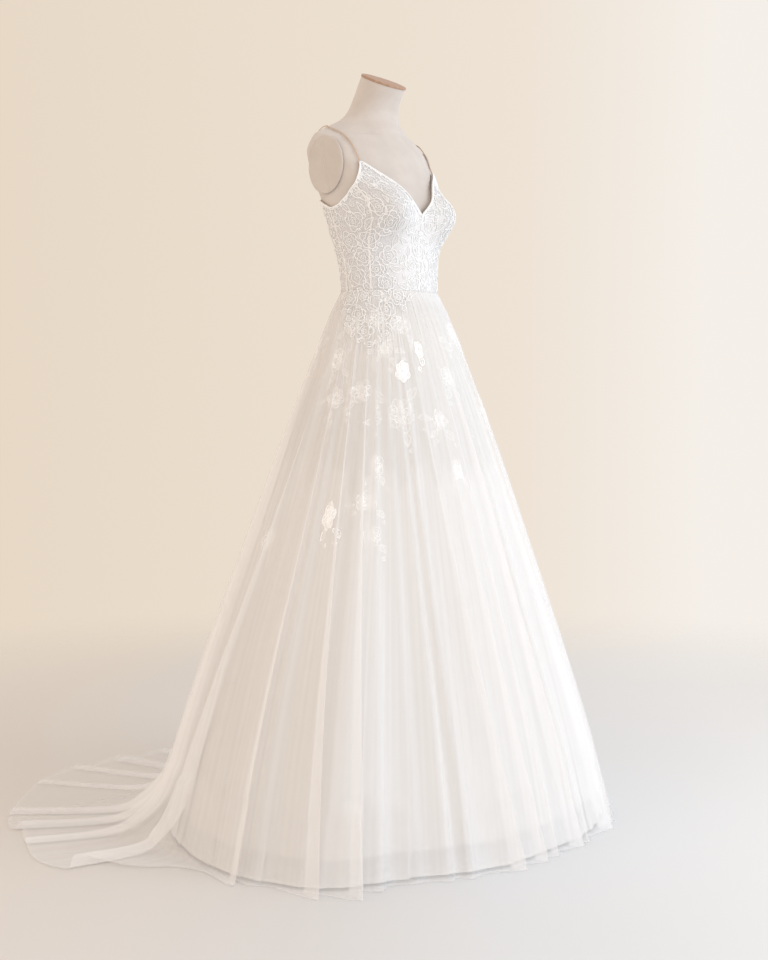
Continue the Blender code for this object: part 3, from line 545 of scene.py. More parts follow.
def net_material(name, thread, shaded_hole, lit_hole):
    """Pale net with darker holes; painted shade makes the holes darker on the sides, and painted light makes them
    lighter near the middle.
    """
    made, tree, shader = new_material(name)
    place = node(tree, "ShaderNodeTexCoord")
    cells = node(tree, "ShaderNodeTexVoronoi", Scale=760.0, feature="DISTANCE_TO_EDGE")
    ramp = node(tree, "ShaderNodeMapRange", interpolation_type="SMOOTHSTEP")
    ramp.inputs["From Min"].default_value = 0.06
    ramp.inputs["From Max"].default_value = 0.26
    parts = node(tree, "ShaderNodeSeparateXYZ")
    aside = node(tree, "ShaderNodeMath", operation="ABSOLUTE")
    # painted light: the holes turn lighter within a band round the middle, and keep their painted shade beyond it
    middle = node(tree, "ShaderNodeMapRange", interpolation_type="SMOOTHSTEP")
    middle.inputs["From Min"].default_value = LIT_MIDDLE_TO
    middle.inputs["From Max"].default_value = LIT_MIDDLE_TO + 0.055
    holes = node(tree, "ShaderNodeMix", data_type="RGBA")
    holes.inputs[6].default_value = (*lit_hole, 1)
    holes.inputs[7].default_value = (*shaded_hole, 1)
    mix = node(tree, "ShaderNodeMix", data_type="RGBA")
    mix.inputs[6].default_value = (*thread, 1)
    tree.links.new(place.outputs["Object"], cells.inputs["Vector"])
    tree.links.new(place.outputs["Object"], parts.inputs["Vector"])
    tree.links.new(parts.outputs["X"], aside.inputs[0])
    tree.links.new(aside.outputs["Value"], middle.inputs["Value"])
    tree.links.new(middle.outputs["Result"], holes.inputs[0])
    tree.links.new(cells.outputs["Distance"], ramp.inputs["Value"])
    tree.links.new(ramp.outputs["Result"], mix.inputs[0])
    tree.links.new(holes.outputs[2], mix.inputs[7])
    tree.links.new(mix.outputs[2], shader.inputs["Base Color"])
    add_bump(tree, shader, cells.outputs["Distance"], 0.15, 0.0003)
    shader.inputs["Roughness"].default_value = 0.7
    shader.inputs["Sheen Weight"].default_value = 0.2
    return made


def wood_material(name, colour, other):
    made, tree, shader = new_material(name)
    place = node(tree, "ShaderNodeTexCoord")
    wave = node(tree, "ShaderNodeTexWave", Scale=26.0, Distortion=5.0, Detail=3.0)
    ramp = node(tree, "ShaderNodeValToRGB")
    ramp.color_ramp.elements[0].color = (*colour, 1)
    ramp.color_ramp.elements[1].color = (*other, 1)
    tree.links.new(place.outputs["Object"], wave.inputs["Vector"])
    tree.links.new(wave.outputs["Fac"], ramp.inputs["Fac"])
    tree.links.new(ramp.outputs["Color"], shader.inputs["Base Color"])
    add_bump(tree, shader, wave.outputs["Fac"], 0.1, 0.0003)
    shader.inputs["Roughness"].default_value = 0.5
    return made


def painted_material(name, colour, other):
    made, tree, shader = new_material(name)
    place, ramp = mottled(tree, shader, colour, other, 300.0)
    add_bump(tree, shader, ramp.outputs["Color"], 0.05, 0.0002)
    shader.inputs["Roughness"].default_value = 0.35
    return made


TULLE = sheer_material("tulle_outer", (0.865, 0.84, 0.825), (0.875, 0.86, 0.86), 0.42, 0.36)
TULLE_INNER = sheer_material("tulle_inner", (0.86, 0.835, 0.81), (0.87, 0.85, 0.835), 0.44, 0.74)
NET = sheer_material("underskirt_net", (0.80, 0.765, 0.725), (0.81, 0.78, 0.745), 0.52, 0.78)
LINING = woven_material("lining_satin", (0.77, 0.725, 0.68), (0.79, 0.75, 0.71), 0.0005, 0.5, 0.3, 0.1)
# how far out from the middle the net's holes keep their painted light
LIT_MIDDLE_TO = 0.030
# hole colours of the nets: painted shade on the sides, painted light near the middle
GROUND = net_material("bodice_net", (0.78, 0.76, 0.755), (0.39, 0.375, 0.385), (0.74, 0.72, 0.71))
SEAM_NET = net_material("seam_net", (0.83, 0.80, 0.775), (0.72, 0.68, 0.66), (0.80, 0.77, 0.76))
CORD = cord_material("lace_cord", (0.89, 0.88, 0.87), (0.93, 0.925, 0.915))
CORD_SOFT = cord_material("lace_cord_soft", (0.95, 0.935, 0.92), (0.97, 0.96, 0.95), 0.85)
CORD_FAINT = cord_material("lace_cord_faint", (0.985, 0.98, 0.97), (0.99, 0.985, 0.98), 0.40)
PETAL = woven_material("petal_organza", (0.92, 0.90, 0.87), (0.95, 0.94, 0.92), 0.0006, 0.6, 0.4, 0.15)
BINDING = woven_material("binding_tan", (0.55, 0.42, 0.32), (0.61, 0.47, 0.37), 0.0006, 0.6, 0.2)
CANVAS = woven_material("form_canvas", (0.60, 0.535, 0.485), (0.64, 0.575, 0.525), 0.0008, 0.85, 0.2)
# the arm plates' canvas is the cover's linen, painted a little darker as painted shade on the side faces
SHADED_PLATE_CANVAS = woven_material("plate_canvas_painted_shade", (0.57, 0.50, 0.44), (0.61, 0.54, 0.48), 0.0008, 0.85, 0.2)
SEAM_THREAD = woven_material("seam_canvas", (0.63, 0.57, 0.51), (0.66, 0.60, 0.54), 0.0004, 0.85)
CAP = wood_material("cap_wood", (0.40, 0.235, 0.150), (0.47, 0.29, 0.195))
PAINT = painted_material("stand_paint", (0.74, 0.72, 0.69), (0.80, 0.78, 0.75))

# ---------------------------------------------------------------- cords of lace

Line = namedtuple("Line", "points width")


def ring_line(radius, lobes, depth, spin, wobble, steps):
    a = np.linspace(0, 2 * np.pi, steps + 1)
    edge = 1 - depth + depth * np.abs(np.cos(lobes * (a - spin) / 2)) ** 0.7
    edge = edge * (1 + wobble * np.sin(3 * a + 5 * spin))
    return np.stack([np.cos(a), np.sin(a)], axis=-1) * (radius * edge)[:, None]


def rose(radius, rng):
    """Rings of petals round a spiral heart, as outlines of cord."""
    lobes = rng.integers(5, 7)
    spin = rng.uniform(0, 6.28)
    bold = 0.0021 if radius > 0.012 else 0.0016
    lines = [
        Line(ring_line(radius, lobes, 0.30, spin, 0.07, 40), bold),
        Line(ring_line(radius * 0.64, 5, 0.32, spin + 0.6, 0.08, 28), bold * 0.85),
    ]
    a = np.linspace(0, 3.4 * np.pi, 20)
    heart = radius * (0.36 - 0.28 * a / a[-1])
    lines.append(Line(np.stack([np.cos(a + spin), np.sin(a + spin)], -1) * heart[:, None], bold * 0.8))
    for k in range(lobes):
        b = spin + 2 * np.pi * (k + 0.5) / lobes + rng.uniform(-0.1, 0.1)
        r = radius * np.array([0.66, 0.76, 0.86])
        lines.append(Line(np.stack([r * np.cos(b), r * np.sin(b + 0.05)], -1), bold * 0.5))
    return lines


def leaf(length, rng):
    """A pointed leaf with a midrib and side veins."""
    a = np.linspace(0, 1, 12)
    half = length * 0.22 * np.sin(np.pi * a ** 0.85)
    spine = length * (a - 0.5)
    bow = length * 0.10 * np.sin(np.pi * a)
    lines = [
        Line(np.stack([spine, bow + half], -1), 0.0018),
        Line(np.stack([spine, bow - half], -1), 0.0018),
        Line(np.stack([spine, bow], -1), 0.0011),
    ]
    for k in (4, 7, 9):
        for side in (-1, 1):
            start = np.array([spine[k - 1], bow[k - 1]])
            end = np.array([spine[k], bow[k] + side * half[k] * 0.85])
            lines.append(Line(np.array([start, (start + end) / 2, end]), 0.0007))
    return lines


def curl(radius, rng):
    """A small scroll that ends in a bud."""
    a = np.linspace(0, 3.2 * np.pi, 18)
    r = radius * (1 - 0.78 * a / a[-1])
    side = rng.choice([-1, 1])
    points = np.stack([r * np.cos(a), side * r * np.sin(a)], -1)
    tail = np.array([[radius * 1.5, -side * radius * 0.5], [radius * 1.25, -side * radius * 0.15]])
    return [Line(np.concatenate([tail, points]), 0.0015)]


def turned(lines, angle):
    c, s = math.cos(angle), math.sin(angle)
    spin = np.array([[c, s], [-s, c]])
    return [Line(line.points @ spin, line.width) for line in lines]


class CordMesh:
    """Gathers cords as low round ridges over a surface, then makes one piece of them."""

    def __init__(self):
        self.points, self.faces, self.count = [], [], 0

    def add(self, points, normals, width, height=None):
        if len(points) < 2:
            return
        height = width * 0.55 if height is None else height
        along = unit(np.gradient(points, axis=0))
        side = unit(np.cross(normals, along))
        taper = np.ones(len(points))
        rows = []
        for across, up in ((-0.5, 0.0), (-0.28, 0.8), (0.28, 0.8), (0.5, 0.0)):
            rows.append(points + side * (across * width * taper)[:, None] + normals * (up * height))
        block = np.stack(rows, axis=1)
        self.points.append(block.reshape(-1, 3))
        self.faces.append(grid_faces(len(points), 4, self.count))
        self.count += len(points) * 4

    def piece(self, name, material, slot):
        return mesh_piece(name, np.concatenate(self.points), np.concatenate(self.faces), material)


def dress_point(turn_deg, height, lift):
    """Points on the bodice, or below the waist on the skirt's outer tulle."""
    body, way = torso_point(turn_deg, np.maximum(height, WAIST), lift)
    out = fold_shape(OUTER, turn_deg, np.minimum(height, WAIST))[0]
    x, y = skirt_flat(turn_deg, np.minimum(height, WAIST), out + lift)
    below = (height < WAIST)[:, None]
    skirt_way = unit(np.stack([np.sin(np.radians(turn_deg)), -np.cos(np.radians(turn_deg)), 0 * height + 0.4], -1))
    return np.where(below, np.stack([x, y, height], -1), body), np.where(below, skirt_way, way)


def lay_on_dress(cords, lines, turn_deg, height, lift, full=0.55):
    """Lays a motif's cords over the dress and leaves out what would pass its edges."""
    near = dress_point(turn_deg + np.array([-1.0, 1.0]), np.array([height, height]), 0.0)[0]
    per_degree = np.linalg.norm(near[1] - near[0]) / 2
    for line in lines:
        turns = turn_deg + line.points[:, 0] / per_degree
        heights = height + line.points[:, 1]
        inside = (heights < top_edge(turns) - 0.0012) & (heights > lace_low(turns) - 0.012)
        for run in kept_runs(inside):
            points, normals = dress_point(turns[run], heights[run], lift)
            cords.add(points, normals, line.width, line.width * full)


CASCADE_MIDDLE, CASCADE_HALF = -58.0, 46.0
CASCADE_LOWEST = 1.025


def lace_low(turn_deg):
    """How low the lace reaches: to the waist seam, and past it in the cascade."""
    aside = np.abs((np.asarray(turn_deg, float) - CASCADE_MIDDLE) / CASCADE_HALF)
    spill = CASCADE_LOWEST + (WAIST - CASCADE_LOWEST) * aside ** 1.25
    return np.where(aside < 1, spill, WAIST + 0.012)


def kept_runs(inside):
    """Stretches of a line that stay inside."""
    runs, start = [], None
    for k, keep in enumerate(list(inside) + [False]):
        if keep and start is None:
            start = k
        elif not keep and start is not None:
            if k - start > 1:
                runs.append(slice(start, k))
            start = None
    return runs


# ---------------------------------------------------------------- the bodice

SEAMS = ((0, 0, 0), (60, 56, 46), (96, 96, 96), (134, 132, 128), (180, 180, 180))
PANEL_NAMES = ("front", "side", "side_back", "back")


def seam_turn(seam, height):
    return smooth_curve(zip((WAIST, 1.312, 1.42), seam))(height)


def seam_top(seam):
    height = 1.35
    for _ in range(12):
        height = float(top_edge(seam_turn(seam, height)))
    return float(seam_turn(seam, height))


def panel_points(left, right, columns, rows, side, lift):
    left_top, right_top = seam_top(left), seam_top(right)
    share = np.linspace(0, 1, columns + 1)[:, None]
    top = top_edge(left_top + (right_top - left_top) * share)
    rise = np.linspace(0, 1, rows + 1)[None, :]
    height = WAIST + (top - WAIST) * rise
    a, b = seam_turn(left, height), seam_turn(right, height)
    blend = smooth_step(0.85, 1.0, rise)
    a = a + (left_top - a) * blend
    b = b + (right_top - b) * blend
    return torso_point(side * (a + (b - a) * share), height, lift)[0]


def make_bodice():
    for side, side_name in ((-1, "right"), (1, "left")):
        for k, panel in enumerate(PANEL_NAMES):
            points = panel_points(SEAMS[k], SEAMS[k + 1], 30, 60, side, -0.0002)
            faces = grid_faces(31, 61)
            if side < 0:
                faces = faces[:, ::-1]
            piece = mesh_piece(
                "bodice_panel_%s_%s" % (panel, side_name), points.reshape(-1, 3), faces, GROUND
            )
            solid = piece.modifiers.new("cloth", "SOLIDIFY")
            solid.thickness = BODICE_CLOTH * 0.8
            solid.offset = -1.0
            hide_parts("bodice_%s_%s" % (panel, side_name))
        make_bodice_lace(side, side_name)


LACE_KINDS = (
    (rose, 0.0165, 0.0225, 500, 0.97),
    (leaf, 0.0230, 0.0320, 900, 0.82),
    (rose, 0.0085, 0.0120, 900, 0.92),
    (leaf, 0.0130, 0.0170, 1200, 0.80),
    (curl, 0.0042, 0.0060, 3200, 0.90),
)


def make_bodice_lace(side, side_name):
    """Roses, leaves and scrolls of cord, scattered so that they just miss each other."""
    rng = np.random.default_rng(5 if side < 0 else 6)
    places, reaches = np.zeros((0, 3)), np.zeros(0)
    cords, soft = CordMesh(), CordMesh()
    for kind, low, high, tries, gap in LACE_KINDS:
        turns = side * rng.uniform(0, 180, tries)
        heights = rng.uniform(CASCADE_LOWEST, 1.41, tries)
        sizes = rng.uniform(low, high, tries)
        spins = rng.uniform(0, 2 * np.pi, tries)
        fits = (heights < top_edge(turns) + 0.002) & (heights > lace_low(turns) - 0.004)
        points = dress_point(turns, heights, 0.0)[0]
        for k in np.flatnonzero(fits):
            reach = sizes[k] * (0.5 if kind is leaf else 1.0)
            far = np.linalg.norm(places - points[k], axis=1)
            if np.any(far < (reach + reaches) * gap):
                continue
            places = np.vstack([places, points[k]])
            reaches = np.append(reaches, reach)
            low = heights[k] < WAIST - 0.004
            mesh, full = (soft, 0.14) if low else (cords, 0.45)
            lay_on_dress(mesh, turned(kind(sizes[k], rng), spins[k]), turns[k], heights[k], 0.0003, full)
    cords.piece("lace_cords_" + side_name, CORD, "lace_white")
    if soft.count:
        soft.piece("lace_cascade_" + side_name, CORD_SOFT, "lace_white")


def edge_line(start_deg, end_deg, count):
    """Evenly spaced turns along the top edge."""
    fine = np.linspace(start_deg, end_deg, 1500)
    points = torso_point(fine, top_edge(fine))[0]
    far = np.concatenate([[0], np.cumsum(np.linalg.norm(np.diff(points, axis=0), axis=1))])
    return np.interp(np.linspace(0, far[-1], count), far, fine), far[-1]


def make_edging():
    """The white scalloped cord along the top edge and the tan binding inside it."""
    cords = CordMesh()
    turns, length = edge_line(-180, 180, 1100)
    heights = top_edge(turns)
    twist = np.arange(len(turns)) * 0.9
    for phase in (0.0, math.pi):
        points, normals = torso_point(
            turns, heights - 0.0008 + 0.0010 * np.sin(twist + phase), 0.0006 + 0.0008 * np.cos(twist + phase)
        )
        cords.add(points, normals, 0.0024, 0.0014)
    places, _ = edge_line(-180, 180, int(length / SCALLOP_WIDE) + 1)
    for k, turn in enumerate(places[:-1]):
        a = np.linspace(0, np.pi, 9)
        t = turn + (places[k + 1] - turn) * (1 - np.cos(a)) / 2
        size = 0.0066 + 0.0014 * math.sin(k * 2.1)
        for shrink in (1.0, 0.45):
            h = top_edge(t) - 0.001 - size * shrink * np.sin(a)
            points, normals = torso_point(t, h, 0.0006)
            cords.add(points, normals, 0.0018)
    cords.piece("lace_edging", CORD, "lace_white")
    across = np.linspace(0, 1, 5)
    lifts = -BODICE_CLOTH - 0.0008 + 0.0008 * np.sin(np.pi * across)
    drops = -0.0060 + 0.0076 * across
    band = np.stack([torso_point(turns, heights + drop, lift)[0] for drop, lift in zip(drops, lifts)], axis=1)
    piece = mesh_piece("edge_binding", band.reshape(-1, 3), grid_faces(len(turns), 5), BINDING)
    solid = piece.modifiers.new("cloth", "SOLIDIFY")
    solid.thickness = 0.0005
    solid.offset = 0.0


SCALLOP_WIDE = 0.0110


def make_seam_ridges():
    """The flat-felled seams between the bodice's panels, and the waist seam."""
    cords = CordMesh()
    for side in (-1, 1):
        for k, seam in enumerate(SEAMS[:-1]):
            if k == 0 and side > 0:
                continue
            top = float(top_edge(seam_top(seam)))
            heights = np.linspace(WAIST, top - 0.001, 90)
            turns = side * seam_turn(seam, heights)
            points, normals = torso_point(turns, heights, 0.0001)
            cords.add(points, normals, 0.0042, 0.0009)
    cords.piece("bodice_seams", SEAM_NET, "lace_white")
    piping = CordMesh()
    turns = np.linspace(-180, 180, 721)
    points, normals = torso_point(turns, np.full_like(turns, WAIST + 0.0008), -0.0006)
    piping.add(points, normals, 0.0018, 0.0005)
    piping.piece("waist_piping", SEAM_NET, "lace_white")


def make_buttons():
    """Covered buttons: low domes with a rim."""
    points, faces, count = [], [], 0
    names = sorted(name for name in NODES if name.startswith("button_"))
    for name in names:
        low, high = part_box(name)
        middle = (low + high) / 2
        radius = (high.x - low.x) / 2
        out = Vector((0, 1, 0))
        rings = []
        for rise, share in ((-0.0016, 0.7), (-0.0008, 0.98), (0.0, 1.0), (0.0009, 0.90), (0.0016, 0.62), (0.0020, 0.25)):
            a = np.linspace(0, 2 * np.pi, 24, endpoint=False)
            ring = np.stack([radius * share * np.cos(a), np.full(24, rise), radius * share * np.sin(a)], -1)
            rings.append(ring + np.array(middle))
        block = np.array(rings)
        points.append(block.transpose(1, 0, 2).reshape(-1, 3))
        faces += grid_faces(24, len(rings), count, wrap=True).tolist()
        top = [count + i * len(rings) + len(rings) - 1 for i in range(24)]
        foot = [count + i * len(rings) for i in reversed(range(24))]
        faces += [top, foot]
        count += 24 * len(rings)
    mesh = bpy.data.meshes.new("covered_buttons")
    mesh.from_pydata(np.concatenate(points).tolist(), [], faces)
    mesh.shade_smooth()
    piece = bpy.data.objects.new("covered_buttons", mesh)
    bpy.context.scene.collection.objects.link(piece)
    mesh.materials.append(PETAL)
    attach(piece, "root")
    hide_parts(*names)


# ---------------------------------------------------------------- the form


def smooth_copy(node_name, name, material, levels, keep_sharp_deg=40):
    """A rounder copy of a CAD node."""
    source = NODES[node_name]
    work = bmesh.new()
    work.from_mesh(source.data)
    bmesh.ops.remove_doubles(work, verts=work.verts, dist=0.00002)
    bmesh.ops.join_triangles(
        work, faces=work.faces, angle_face_threshold=math.radians(30), angle_shape_threshold=math.radians(40)
    )
    crease = work.edges.layers.float.new("crease_edge")
    for edge in work.edges:
        if len(edge.link_faces) == 2 and edge.calc_face_angle() > math.radians(keep_sharp_deg):
            edge[crease] = 0.8
    mesh = bpy.data.meshes.new(name)
    work.to_mesh(mesh)
    work.free()
    mesh.shade_smooth()
    piece = bpy.data.objects.new(name, mesh)
    bpy.context.scene.collection.objects.link(piece)
    mesh.materials.append(material)
    rounder = piece.modifiers.new("rounder", "SUBSURF")
    rounder.levels = rounder.render_levels = levels
    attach(piece, "root")
    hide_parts(node_name)
    return piece


FORM_SIDES = 144


def make_form():
    """The padded torso, smooth all over, with its arm plates, cap and stand."""
    heights = np.interp(np.linspace(0, 1, 171), np.linspace(0, 1, len(FORM_LEVELS)), [row[0] for row in FORM_LEVELS])
    heights = np.unique(np.concatenate([heights, np.arange(1.28, 1.50, 0.004)]))
    turns = np.linspace(-180, 180, FORM_SIDES, endpoint=False)[:, None]
    points = form_point(turns, heights[None, :])
    rows = len(heights)
    faces = grid_faces(FORM_SIDES, rows, wrap=True).tolist()
    faces.append([i * rows for i in reversed(range(FORM_SIDES))])
    faces.append([i * rows + rows - 1 for i in range(FORM_SIDES)])
    mesh = bpy.data.meshes.new("form_cover")
    mesh.from_pydata(points.reshape(-1, 3).tolist(), [], faces)
    mesh.shade_smooth()
    mesh.set_sharp_from_angle(angle=math.radians(50))
    piece = bpy.data.objects.new("form_cover", mesh)
    bpy.context.scene.collection.objects.link(piece)
    mesh.materials.append(CANVAS)
    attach(piece, "root")
    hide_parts("form_body")
    for side in ("right", "left"):
        smooth_copy("form_arm_plate_" + side, "arm_plate_" + side, SHADED_PLATE_CANVAS, 2)
        make_plate_seam(side)
        make_strap(side)
    smooth_copy("form_neck_cap", "neck_cap", CAP, 2)
    for name, finish in (("form_bottom_plate", CAP), ("stand_pole", PAINT), ("stand_base", PAINT)):
        NODES[name].data.materials.clear()
        NODES[name].data.materials.append(finish)


def make_plate_seam(side_name):
    """The seam down the middle of an arm plate's cover."""
    side = -1 if side_name == "right" else 1
    turn = math.radians(ARM_FACE_TURN_DEG)
    out = np.array([side * math.cos(turn), -math.sin(turn), 0.0])
    back = np.array([side * math.sin(turn), math.cos(turn), 0.0])
    share = np.linspace(-0.92, 0.92, 24)[:, None]
    tall, deep = 0.062 * share, 0.0935 + 0.012 * share
    middle = out * (ARM_FACE_AT + ARM_FACE_LEAN * tall + 0.0052) + back * deep
    cords = CordMesh()
    points = middle + np.array([0.0, 0.0, 1.0]) * (ARM_FACE_HEIGHT + tall)
    cords.add(points, np.repeat(out[None, :], 24, axis=0), 0.0014, 0.0003)
    cords.piece("arm_plate_seam_" + side_name, SEAM_THREAD, "form_linen")


STRAP_TURNS = (37.5, 136)
STRAP_AT = 0.126
STRAP_WIDTH, STRAP_THICK = 0.0036, 0.0016
STRAP_STEPS = 60


def make_strap(side_name):
    """A narrow strap up the chest, over the shoulder and down the back."""
    side = -1 if side_name == "right" else 1
    crest = 1.450
    while HALF_WIDTH(crest) > STRAP_AT * 1.004:
        crest += 0.0002
    turns, heights = [], []
    for end, turn in enumerate(STRAP_TURNS):
        low = float(top_edge(turn)) - 0.0030
        share = np.linspace(0, 1, STRAP_STEPS + 1)
        height = low + (crest - low) * (1 - (1 - share) ** 2)
        start = HALF_WIDTH(low) * math.sin(math.radians(turn))
        x = start + (STRAP_AT - start) * smooth_step(0, 1, share)
        across = np.degrees(np.arcsin(np.minimum(x / HALF_WIDTH(height), 1.0)))
        if end:
            across, height = (180 - across)[-2::-1], height[-2::-1]
        turns.append(across)
        heights.append(height)
    turns, heights = np.concatenate(turns), np.concatenate(heights)
    points = over_form(side * turns, heights, CLEAR_OF_FORM + STRAP_THICK / 2, BUST_BRIDGE)[0]
    for _ in range(6):
        points[1:-1] = (points[:-2] + 2 * points[1:-1] + points[2:]) / 4
    centre = np.array([0.0, float(MIDDLE(1.4)), 1.38])
    along = unit(np.gradient(points, axis=0))
    out = points - centre
    out = unit(out - along * (out * along).sum(-1, keepdims=True))
    aside = np.cross(along, out)
    rings = []
    for a in np.linspace(0, 2 * np.pi, 12, endpoint=False):
        wide = np.sign(np.cos(a)) * abs(np.cos(a)) ** 0.6 * STRAP_WIDTH / 2
        thick = np.sin(a) * STRAP_THICK / 2
        rings.append(points + aside * wide + out * thick)
    block = np.stack(rings, axis=0)
    faces = grid_faces(12, len(points), wrap=True).tolist()
    piece = mesh_piece("spaghetti_strap_" + side_name, block.reshape(-1, 3), faces, BINDING)
    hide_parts("strap_" + side_name)


# ---------------------------------------------------------------- the skirt

Gore = namedtuple("Gore", "node name start_deg end_deg flat_wide flat_long flat_area")
GORES = (
    Gore("skirt_front", "tulle_front", -36, 36, 0.90, 1.20, 0.60),
    Gore("skirt_side_right", "tulle_side_right", -92, -36, 0.95, 1.25, 0.60),
    Gore("skirt_side_left", "tulle_side_left", 36, 92, 0.80, 1.22, 0.50),
    Gore("skirt_back_right", "tulle_back_right", -180, -92, 1.90, 1.60, 1.50),
    Gore("skirt_back_left", "tulle_back_left", 92, 180, 1.75, 1.50, 1.30),
)
OUTER = make_layer(list(PHOTO_FOLDS) + other_folds(), LARGEST_FOLD, 0.0, 0.0011, 0.0, 1.0)
INNER = make_layer(even_folds(44, 0.4, 1.0, 3.2), 0.0055, 0.0100, 0.0007, 0.004, 0.0)


def make_skirt():
    for gore in GORES:
        turns = fold_columns(OUTER, gore.start_deg, gore.end_deg, 0.60)
        points = layer_grid(OUTER, turns)
        piece = mesh_piece(gore.name, points.reshape(-1, 3), grid_faces(*points.shape[:2]), TULLE)
        piece.visible_shadow = False
        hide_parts(gore.node)
    for name, start, end in (("tulle_inner_front", -90, 90), ("tulle_inner_back", 90, 270)):
        turns = fold_columns(INNER, start, end, 0.85)
        points = layer_grid(INNER, turns)
        piece = mesh_piece(name, points.reshape(-1, 3), grid_faces(*points.shape[:2]), TULLE_INNER)
        piece.visible_shadow = False


Under = namedtuple("Under", "node name inside_waist inside_low folds depth hem material columns area")
UNDER_LAYERS = (
    Under("underskirt", "underskirt_net", 0.0010, 0.0105, 9, 0.009, 0.050, NET, 120, 1.05),
    Under("lining", "satin_lining", 0.0026, 0.026, 6, 0.012, 0.120, LINING, 90, 0.95),
)


def make_under_layers():
    """Soft waves, wider than the outer folds; both end above the floor."""
    for layer in UNDER_LAYERS:
        for start, half in ((-90, "front"), (90, "back")):
            turns = np.linspace(start, start + 180, layer.columns + 1)[:, None]
            heights = np.linspace(WAIST - 0.0005, layer.hem, 40)[None, :]
            down = (WAIST - heights) / WAIST
            wave = 0.5 - 0.5 * np.cos(np.radians(turns * layer.folds * 2) + 0.9 * np.sin(np.radians(turns * 3)))
            wave = wave + 0.15 * np.sin(np.radians(turns * 37))
            inside = layer.inside_waist + layer.inside_low * smooth_step(0.0, 0.5, down)
            inside = inside + layer.depth * smooth_step(0.1, 1.0, down) * wave
            x, y = skirt_flat(turns + 0 * heights, heights + 0 * turns, -inside)
            points = np.stack([x, y, heights + 0 * turns], -1)
            piece = mesh_piece(
                layer.name + "_" + half, points.reshape(-1, 3), grid_faces(*points.shape[:2]), layer.material,
            )
            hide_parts(layer.node + "_" + half)


# ---------------------------------------------------------------- lace flowers on the skirt

FAINT, SOFT, WHITE = 0, 1, 2
# kind: faint ones are open stitches, white ones are filled. narrow: width as a
# share of height, where a fold gathers the motif. leaves: how many fan out round it.
Bloom = namedtuple("Bloom", "turn_deg height radius spin_deg kind narrow leaves")
BLOOMS = (
    Bloom(-72, 1.068, 0.024, 10, SOFT, 1.0, 3),
    Bloom(-51, 1.078, 0.024, 40, SOFT, 1.0, 0),
    Bloom(-31, 1.070, 0.023, 0, SOFT, 1.0, 2),
    Bloom(-45, 1.018, 0.022, 60, SOFT, 0.8, 4),
    Bloom(-19, 1.018, 0.020, 15, WHITE, 0.40, 1),
    Bloom(-82, 0.995, 0.028, 25, FAINT, 0.9, 3),
    Bloom(-76, 0.915, 0.025, 50, FAINT, 1.0, 4),
    Bloom(-59, 0.930, 0.026, 5, FAINT, 0.9, 2),
    Bloom(-33, 0.972, 0.025, 30, WHITE, 0.65, 0),
    Bloom(-37, 0.882, 0.038, 45, SOFT, 0.8, 5),
    Bloom(1, 0.958, 0.026, 20, FAINT, 0.7, 2),
    Bloom(-14, 0.871, 0.024, 55, FAINT, 0.8, 2),
    Bloom(-50, 0.780, 0.026, 35, SOFT, 0.6, 2),
    Bloom(-9, 0.769, 0.022, 12, FAINT, 0.6, 2),
    Bloom(-53, 0.709, 0.024, 33, FAINT, 1.0, 3),
    Bloom(-68, 0.679, 0.031, 22, WHITE, 0.60, 2),
    Bloom(-51, 0.642, 0.022, 48, FAINT, 0.9, 2),
    Bloom(-96, 0.625, 0.026, 5, FAINT, 0.7, 1),
    Bloom(26, 1.055, 0.030, 27, SOFT, 0.9, 4),
    Bloom(58, 1.040, 0.030, 38, FAINT, 0.9, 4),
    Bloom(40, 0.900, 0.032, 8, FAINT, 0.8, 4),
    Bloom(76, 0.800, 0.030, 52, WHITE, 0.65, 2),
    Bloom(106, 1.030, 0.030, 30, SOFT, 0.9, 4),
    Bloom(-118, 1.020, 0.030, 14, FAINT, 0.9, 4),
)


def on_skirt(turn_deg, height, x, y, lift, follow):
    """Points of a motif laid over the skirt round a place, following its folds by a share."""
    radius = float(skirt_radius(np.array([turn_deg]), np.array([height]))[0])
    turns = turn_deg + np.degrees(x / radius)
    heights = np.minimum(height + y, WAIST - 0.0005)
    out, _ = fold_shape(OUTER, turns, heights)
    px, py = skirt_flat(turns, heights, out * follow + lift)
    return np.stack([px, py, heights], -1)


def skirt_normal(turn_deg, count):
    a = math.radians(turn_deg)
    slope = math.radians(20)
    way = np.array([math.sin(a) * math.cos(slope), -math.cos(a) * math.cos(slope), math.sin(slope)])
    return np.repeat(way[None, :], count, axis=0)


def make_petals(bloom, rng):
    """Two rings of low petals, as grids of local points."""
    grids = []
    for ring, (reach, wide, rise, count) in enumerate(((1.0, 0.42, 0.0003, 6), (0.60, 0.34, 0.0006, 5))):
        for k in range(count):
            angle = math.radians(bloom.spin_deg) + 2 * math.pi * (k + 0.5 * ring) / count + rng.uniform(-0.14, 0.14)
            size = bloom.radius * reach * rng.uniform(0.86, 1.08)
            s = np.linspace(0.0, 1.0, 7)[:, None]
            t = np.linspace(-1.0, 1.0, 7)[None, :]
            half = size * wide * np.sin(np.pi * np.clip(s * 0.84 + 0.08, 0, 1)) ** 0.7
            notch = 1 - 0.12 * np.exp(-((t / 0.3) ** 2)) * s ** 3
            along = size * (0.08 + 0.92 * s * notch * (1 - 0.12 * t * t * s))
            across = half * t
            full = 1.8 if bloom.kind == WHITE else 1.0
            cup = full * (rise * (0.3 + 0.7 * s) + 0.006 * size * t * t * s + 0.0001 * s * np.sin(7 * t + 3 * k))
            x = (along * math.cos(angle) - across * math.sin(angle)) * bloom.narrow
            y = along * math.sin(angle) + across * math.cos(angle)
            grids.append((x + 0 * t, y + 0 * t, cup + ring * 0.0003 * full + 0 * t))
    return grids


